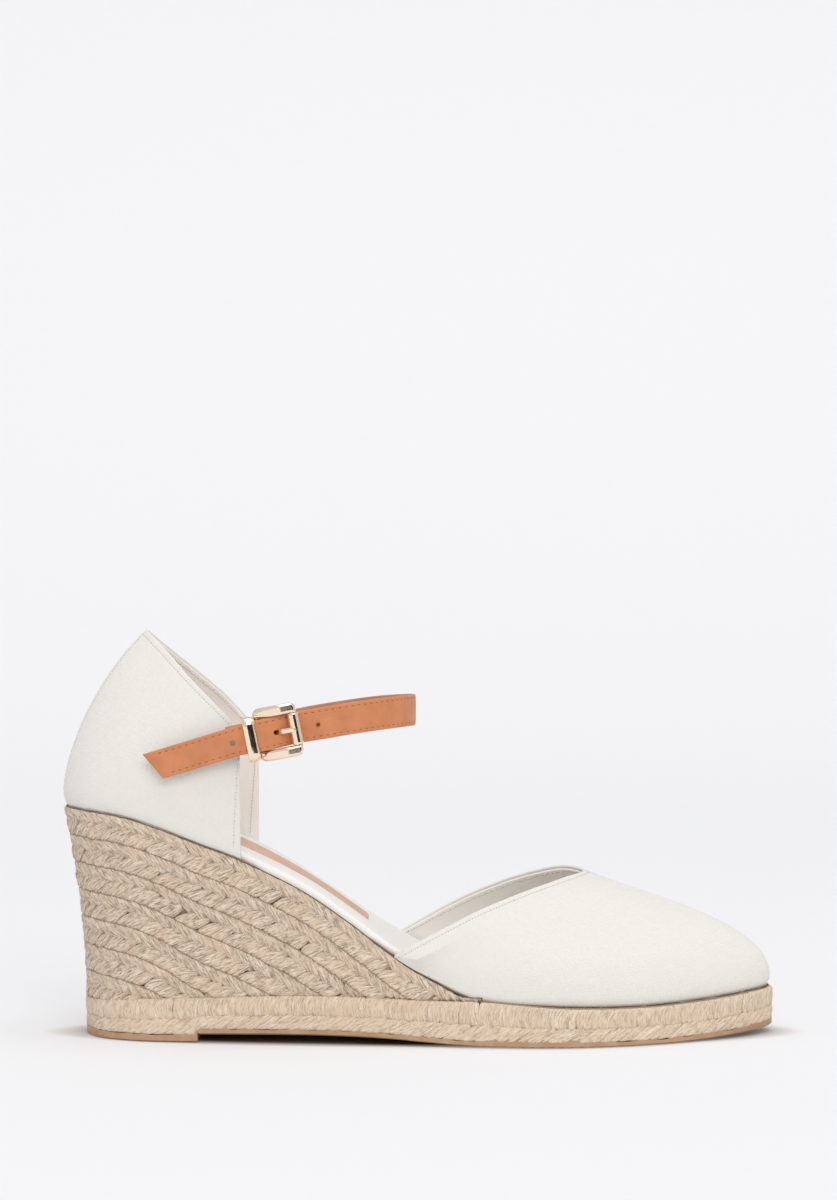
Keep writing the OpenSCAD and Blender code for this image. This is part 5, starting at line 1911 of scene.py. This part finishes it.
@dataclass(frozen=True)
class Buckle:
    """Polished roller buckle with its keeper, prong and leather tab."""

    place: BuckleFrame = BuckleFrame()
    gap: float = 10.8
    bar_width: float = 3.6
    hinge: float = 1.0
    roller_at: tuple[float, float] = (11.6, -3.4)
    roller: float = 2.0
    roller_bar: float = 1.25
    clearance: float = 0.05
    tab_thickness: float = 1.15
    tab_half: float = 4.9
    bar_span: tuple[float, float] = (-1.7, 12.9)
    bar_corner: float = 2.1
    bar_round: float = 0.95
    arm_half: float = 1.05
    arm_taper: float = 0.2
    arm_thick: float = 0.45
    arm_tip: float = 0.7
    keeper_span: tuple[float, float] = (-5.5, -1.4)
    keeper_wall: float = 1.2
    keeper_back: float = 0.8
    keeper_end: float = 2.3
    keeper_drop: float = 0.6
    keeper_extra: float = 0.55
    keeper_corner: float = 2.5
    keeper_turn: tuple[float, float] = (-20.0, 32.0)
    keeper_out: float = 5.15
    bar_outer: np.ndarray = field(default_factory=lambda: rows(
        (-1.7, -1.6), (0, -2.9), (2, -3.7), (7, -5.1), (12.3, -5.1), (12.9, -4.8)))
    bar_inner: np.ndarray = field(default_factory=lambda: rows(
        (-1.7, 1.1), (1, 1.1), (2, 0.6), (9, -1.9), (12.3, -1.9), (12.9, -2.1)))
    arm: np.ndarray = field(default_factory=lambda: rows(
        (0.6, -1.15), (2.6, -0.8), (4.3, -0.7), (5.3, -1.7), (6.2, -3.2), (7.5, -4.4),
        (9.2, -5.35), (10.8, -5.95), (11.9, -6.05)))

    def side_bar(self, parts: Parts, sign: int) -> None:
        """Adds one side bar with rounded edges and corners.

        Args:
            parts: Where the faces go.
            sign: 1 for the upper bar and -1 for the lower one.
        """
        x0, x1 = self.bar_span
        corner = self.bar_corner
        x = x0 + (x1 - x0) * (1 - np.cos(np.linspace(0, math.pi, 56))) / 2
        v = (1 - np.cos(np.linspace(0, math.pi, 25))) / 2 * self.bar_width
        outer = np.interp(x, self.bar_outer[:, 0], self.bar_outer[:, 1])
        inner = np.interp(x, self.bar_inner[:, 0], self.bar_inner[:, 1])
        smooth = np.hanning(7) / np.hanning(7).sum()
        outer, inner = (np.convolve(np.pad(e, 3, "edge"), smooth, "valid") for e in (outer, inner))
        z = self.gap / 2 + v
        cut = np.clip(v - (self.bar_width - corner), 0, corner)
        short = corner - np.sqrt(corner**2 - cut**2 * 0.999)
        span = (x - x0) / (x1 - x0)
        grid_x = x[:, None] + short[None] * (1 - 2 * span[:, None])
        away = np.minimum.reduce([
            np.broadcast_to(v[None], grid_x.shape),
            np.broadcast_to(self.bar_width - v[None], grid_x.shape),
            grid_x - (x0 + short[None]), (x1 - short[None]) - grid_x,
        ])
        middle = ((outer + inner) / 2)[:, None]
        thick = ((inner - outer) / 2)[:, None]
        shape = 1 - (self.bar_round / thick) * (1 - edge_round(away, self.bar_round))
        rings = []
        for face in (-1, 1):
            y = middle + face * thick * shape
            rings.append(np.stack([grid_x, y, np.broadcast_to(z[None], y.shape) * sign], axis=-1))
        parts.add_slab(*(self.place.world(face) for face in rings))

    def make_frame(self) -> None:
        """Makes the frame: two side bars, the hinge bar and the roller's bar."""
        parts = Parts()
        for sign in (1, -1):
            self.side_bar(parts, sign)
        reach = self.gap / 2 + 0.6
        for (x, y), radius in (((0.0, 0.0), self.hinge), (self.roller_at, self.roller_bar)):
            ends = self.place.world(np.array([[x, y, -reach], [x, y, reach]]))
            parts.add_tubes(rod(ends[0], ends[1], radius, 32))
        place_piece(parts.mesh("buckle_bars", [GOLD.made()], 40), Body.STRAP,
                    ["buckle_frame"])

    def make_roller(self) -> None:
        """Makes the roller: a tube with eased ends, turned round its bar."""
        half = self.gap / 2 - 0.15
        bore = self.roller_bar + self.clearance
        profile = [(-half, bore + 0.15), (-half, self.roller - 0.3), (-half + 0.1, self.roller - 0.1),
                   (-half + 0.3, self.roller)]
        profile += [(z, self.roller) for z in np.linspace(-half + 0.8, half - 0.8, 9)]
        profile += [(half - 0.3, self.roller), (half - 0.1, self.roller - 0.1),
                    (half, self.roller - 0.3), (half, bore + 0.15), (half - 0.15, bore)]
        profile += [(-half + 0.15, bore)]
        phi = 2 * math.pi * np.arange(56) / 56
        rings = np.array([
            [(self.roller_at[0] + r * math.cos(a), self.roller_at[1] + r * math.sin(a), z)
             for z, r in profile] for a in phi
        ])
        parts = Parts()
        parts.add_tubes(self.place.world(rings)[None], closed=True)
        place_piece(parts.mesh("roller_tube", [GOLD.made()], 40), Body.ROLLER,
                    ["buckle_roller"])

    def make_keeper(self) -> None:
        """Makes the keeper: a flat metal band bent into a closed loop, with eased edges."""
        x0, x1 = self.keeper_span
        half = self.gap / 2 + self.keeper_end / 2 + self.keeper_extra
        inside = self.hinge + self.clearance + self.tab_thickness + 0.2
        y0 = -(self.keeper_out + self.keeper_wall / 2)
        y1 = inside + self.keeper_back / 2
        corner = self.keeper_corner
        path = []
        for cy, cz, start in (
            (y0 + corner, half - corner, 90), (y0 + corner, -half + corner, 180),
            (y1 - 1.0, -half + corner, 270), (y1 - 1.0, half - corner, 0),
        ):
            reach_y = corner if cy < 0 else 1.0
            for a in np.radians(np.linspace(start, start + 90, 11)):
                path.append((cy + reach_y * math.cos(a), cz + corner * math.sin(a)))
        path = np.array(path)
        extra = np.concatenate([path, path[:1]])
        dense = np.stack([np.interp(np.linspace(0, len(path), 161)[:-1], np.arange(len(extra)),
                                    extra[:, k]) for k in range(2)], axis=1)
        tangent = unit(np.roll(dense, -2, axis=0) - np.roll(dense, 2, axis=0))
        out = np.column_stack([tangent[:, 1], -tangent[:, 0]])
        centre = dense.mean(axis=0)
        if ((dense - centre) * out).sum() < 0:
            out = -out
        u = (1 - np.cos(np.linspace(0, math.pi, 19))) / 2
        x = x0 + (x1 - x0) * u
        away = np.minimum(x - x0, x1 - x)
        thick = np.where(dense[:, 0] < 0, self.keeper_wall, self.keeper_back)[:, None] / 2
        low, high = (math.radians(a) for a in self.keeper_turn)
        lean = low + (high - low) * u
        bulge = np.log(np.cos(lean)) * (x1 - x0) / (high - low)
        outer = thick * edge_round(away, 0.35)[None] + np.where(dense[:, :1] < 0, bulge[None], 0)
        inner = -thick * (1 - 0.6 * (1 - edge_round(away, 0.5))[None])
        rings = []
        for offset in (outer, inner):
            yz = dense[:, None] + out[:, None] * offset[..., None]
            xs = np.broadcast_to(x[None], offset.shape)
            rings.append(np.stack([xs, yz[..., 0], yz[..., 1] - self.keeper_drop], axis=-1))
        parts = Parts()
        parts.add_slab(*(self.place.world(face) for face in rings), closed=True)
        place_piece(parts.mesh("keeper_loop", [GOLD.made()], 40), Body.STRAP,
                    ["strap_keeper"])

    def make_prong(self) -> None:
        """Makes the prong: a ring round the hinge bar and a bent arm with a rounded tip."""
        parts = Parts()
        t = np.linspace(0, len(self.arm) - 1, 70)
        line = through(guided(self.arm), t)
        tangent = unit(np.gradient(line, axis=0))
        out = np.column_stack([tangent[:, 1], -tangent[:, 0]])
        run = lengths(np.column_stack([line, np.zeros(len(line))]))
        tip = edge_round(run[-1] - run, self.arm_tip)
        width = (self.arm_half - self.arm_taper * run / run[-1]) * tip
        thick = self.arm_thick * tip
        phi = 2 * math.pi * (np.arange(20) + 0.5) / 20
        bulge = np.sign(np.cos(phi)) * np.abs(np.cos(phi)) ** 0.7
        depth = np.sign(np.sin(phi)) * np.abs(np.sin(phi)) ** 0.7
        xy = line[:, None] + out[:, None] * (thick[:, None] * depth)[..., None]
        z = width[:, None] * bulge
        parts.add_tubes(self.place.world(np.concatenate([xy, z[..., None]], axis=2))[None])
        inner = self.hinge + self.clearance
        ring = []
        for a in 2 * math.pi * np.arange(48) / 48:
            r = inner + 0.38 + 0.37 * np.cos(phi)
            ring.append(np.column_stack([r * math.cos(a), r * math.sin(a), self.arm_half * depth]))
        parts.add_tubes(self.place.world(np.array(ring))[None], closed=True)
        place_piece(parts.mesh("prong_pin", [GOLD.made()], 60), Body.PRONG,
                    ["buckle_prong"])

    def make_tab(self) -> None:
        """Makes the leather tab, folded round the hinge bar and sewn into the quarter."""
        r = self.hinge + self.clearance + self.tab_thickness / 2
        line = [(-12.0, 2.6), (-8.0, 2.3), (-5.0, 1.9), (-2.2, r)]
        line += [(r * math.sin(a), r * math.cos(a)) for a in np.linspace(0, math.pi, 13)]
        line += [(-2.0, -r), (-3.8, -1.1), (-5.4, 0.35)]
        line = np.array(line)
        t = np.linspace(0, len(line) - 1, 110)
        line = np.stack([np.interp(t, np.arange(len(line)), line[:, k]) for k in range(2)], axis=1)
        pad = np.pad(line, ((4, 4), (0, 0)), "edge")
        smooth = np.hanning(9)[1:-1] / np.hanning(9)[1:-1].sum()
        line = np.stack([np.convolve(pad[1:-1, k], smooth, "valid") for k in range(2)], axis=1)
        tangent = unit(np.gradient(line, axis=0))
        out = np.column_stack([tangent[:, 1], -tangent[:, 0]])
        run = lengths(np.column_stack([line, np.zeros(len(line))]))
        v = np.sin(np.linspace(-math.pi / 2, math.pi / 2, 27))
        half = self.tab_half
        away = np.minimum(half * (1 - np.abs(v))[None], (run[-1] - run)[:, None])
        thick = self.tab_thickness / 2 * edge_round(away, self.tab_thickness / 2)
        rings = []
        for face in (1, -1):
            xy = line[:, None] + out[:, None] * (face * thick)[..., None]
            z = np.broadcast_to(half * v[None], thick.shape)
            rings.append(np.concatenate([xy, z[..., None]], axis=2))
        parts = Parts()
        parts.add_slab(*(self.place.world(face) for face in rings))
        piece = parts.mesh("tab_leather", [STRAP_LEATHER.made()], 60)
        slot = Parts()
        box = np.array([[(x, y, z) for y, z in ((-6, -1.4), (6, -1.4), (6, 1.4), (-6, 1.4))]
                        for x in (-1.9, 6.0)])
        slot.add_tubes(self.place.world(box)[None])
        cut_holes(piece, slot)
        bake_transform(piece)
        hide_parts("buckle_tab")
        LOG.info("%s: %d faces", piece.name, len(piece.data.polygons))

    def make(self) -> None:
        """Makes all pieces of the buckle."""
        self.make_frame()
        self.make_roller()
        self.make_keeper()
        self.make_prong()
        self.make_tab()


# ---------------------------------------------------------------- hidden parts and studio


@dataclass(frozen=True)
class HiddenParts:
    """CAD nodes that stay as they are, inside the shoe, and their finishes."""

    finishes: dict[str, Finish] = field(default_factory=lambda: {
        "midsole_core": CORE, "wedge_core": CORE, "shank": STEEL, "insole_board": BOARD,
        "toe_puff": STIFFENER, "heel_counter": STIFFENER,
    })

    def dress(self) -> None:
        """Gives each node its finish."""
        for node, finish in self.finishes.items():
            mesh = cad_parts[node].data
            mesh.materials.clear()
            mesh.materials.append(finish.made())
            LOG.info("%s keeps its CAD shape", node)


@dataclass(frozen=True)
class FloorFinish(Finish):
    """Pale floor with a painted glow that keeps shadows on it faint, and a painted shadow under the
    shoe: a brown oval without the glow.
    """

    tone: Colour = (0.66, 0.66, 0.668)
    glow: Colour = (0.225, 0.225, 0.231)
    # Painted shadow: the floor's dark brown colour on the oval under the shoe.
    under: Colour = (0.30, 0.235, 0.18)
    centre: tuple[float, float] = (0.095, 0.0)
    reach: tuple[float, float] = (0.121, 0.036)

    def dress(self, graph: Graph) -> None:
        """Matt colour with a painted glow; on an oval under the shoe a painted shadow, browner and
        without the glow.
        """
        x, y = graph.axes(graph.solid_place(MM))
        x = (x - self.centre[0]) / self.reach[0]
        y = (y - self.centre[1]) / self.reach[1]
        # The oval under the shoe gets a painted shadow: a browner colour and none of the painted
        # glow.
        beyond_painted_shadow = (x * x + y * y).rising(0.7, 1.15)
        base = graph.blend(beyond_painted_shadow, self.under, self.tone)
        glow = graph.blend(beyond_painted_shadow, (0.0, 0.0, 0.0), self.glow)
        graph.set(Base_Color=base, Roughness=0.9, Specular_IOR_Level=0.1,
                  Emission_Color=glow, Emission_Strength=1.0)


@dataclass(frozen=True)
class SoftLight:
    """Square light: its name, place and side in metres, and power in watts."""

    name: str
    at: tuple[float, float, float]
    size: float
    power: float


@dataclass(frozen=True)
class Studio:
    """Floor, lights, camera and a dark screen that only shows in the polished metal."""

    eye: tuple[float, float, float] = (0.0932, -1.29935, 0.18801)
    look_down: float = 1.8136
    lens: float = 114.87
    screen: tuple[float, float, float, float] = (-0.01, 1.08, -0.05, 0.55)
    screen_y: float = -1.1
    aim: tuple[float, float, float] = (0.09, 0.0, 0.06)
    lights: tuple[SoftLight, ...] = (
        SoftLight("key", (0.5, -3.2, 2.4), 2.2, 45.0), SoftLight("top", (0.15, -0.2, 3.2), 2.5, 28.0))
    surroundings: float = 0.68
    bend_radius: float = 600.0
    backdrop: float = 900.0
    floor_ends: tuple[float, float] = (-4000.0, 4200.0)
    floor_front: tuple[float, float] = (-4000.0, -1000.0)
    backdrop_top: float = 3500.0
    floor_drop: float = 0.02

    def make_camera(self) -> None:
        """Makes the camera, at the outer side and slightly above."""
        data = bpy.data.cameras.new("camera")
        data.lens = self.lens
        data.sensor_width = 36.0
        data.clip_start = 0.05
        data.clip_end = 50.0
        camera = bpy.data.objects.new("camera", data)
        camera.location = self.eye
        camera.rotation_euler = (math.radians(90 - self.look_down), 0, 0)
        bpy.context.scene.collection.objects.link(camera)
        bpy.context.scene.camera = camera

    def make_floor(self) -> None:
        """Makes a pale floor that curves up into the backdrop."""
        bend = np.radians(np.linspace(-90, 0, 17))
        radius, back = self.bend_radius, self.backdrop
        line = [(y, 0.0) for y in (*self.floor_front, 0.0)]
        line += [(back + radius * math.cos(a), radius + radius * math.sin(a)) for a in bend]
        line += [(back + radius, self.backdrop_top)]
        x = np.linspace(*self.floor_ends, 9)
        points = np.array([[(px, y, z - self.floor_drop) for y, z in line] for px in x])
        rings = np.concatenate([points, points[:, ::-1] - [0, 0, 2.0]], axis=1)
        parts = Parts()
        parts.add_tubes(rings[None])
        parts.mesh("floor", [FloorFinish("pale_floor").made()])

    def make_screen(self) -> None:
        """Makes the dark screen beside the camera."""
        x0, x1, z0, z1 = (1000 * v for v in self.screen)
        y = 1000 * self.screen_y
        near = [(x0, y, z0), (x1, y, z0), (x1, y, z1), (x0, y, z1)]
        rings = np.array([near, [(px, py - 5, pz) for px, py, pz in near]])
        parts = Parts()
        parts.add_tubes(rings[None])
        finish = MattFinish("dark_screen", (0.02, 0.018, 0.016), (0.015, 0.013, 0.012), 0.01, 0.0)
        screen = parts.mesh("dark_screen", [finish.made()])
        screen.visible_camera = False
        screen.visible_diffuse = False
        screen.visible_shadow = False
        screen.visible_transmission = False

    def add_light(self, light: SoftLight) -> None:
        """Adds a light that faces the shoe."""
        data = bpy.data.lights.new(light.name, "AREA")
        data.size = light.size
        data.energy = light.power
        made = bpy.data.objects.new(light.name, data)
        made.location = light.at
        sight = Vector(self.aim) - Vector(light.at)
        made.rotation_euler = sight.to_track_quat("-Z", "Y").to_euler()
        bpy.context.scene.collection.objects.link(made)

    def make_lights(self) -> None:
        """Makes the soft studio light and the pale surroundings."""
        world = bpy.data.worlds.new("studio")
        world.use_nodes = True
        ground = world.node_tree.nodes["Background"]
        ground.inputs["Color"].default_value = (1.0, 1.0, 1.0, 1.0)
        ground.inputs["Strength"].default_value = self.surroundings
        bpy.context.scene.world = world
        for light in self.lights:
            self.add_light(light)
        bpy.context.scene.view_settings.view_transform = "Standard"

    def make(self) -> None:
        """Makes everything round the shoe."""
        self.make_camera()
        self.make_floor()
        self.make_screen()
        self.make_lights()


def main() -> None:
    """Builds the classes in order."""
    logging.basicConfig(level=logging.INFO, format="%(name)s: %(message)s", stream=sys.stdout)
    Studio().make()
    HiddenParts().dress()
    Sole().make()
    JuteWork().make()
    Insole().make()
    Upper().make()
    Strap().make()
    Buckle().make()


if __name__ == "__main__":
    main()
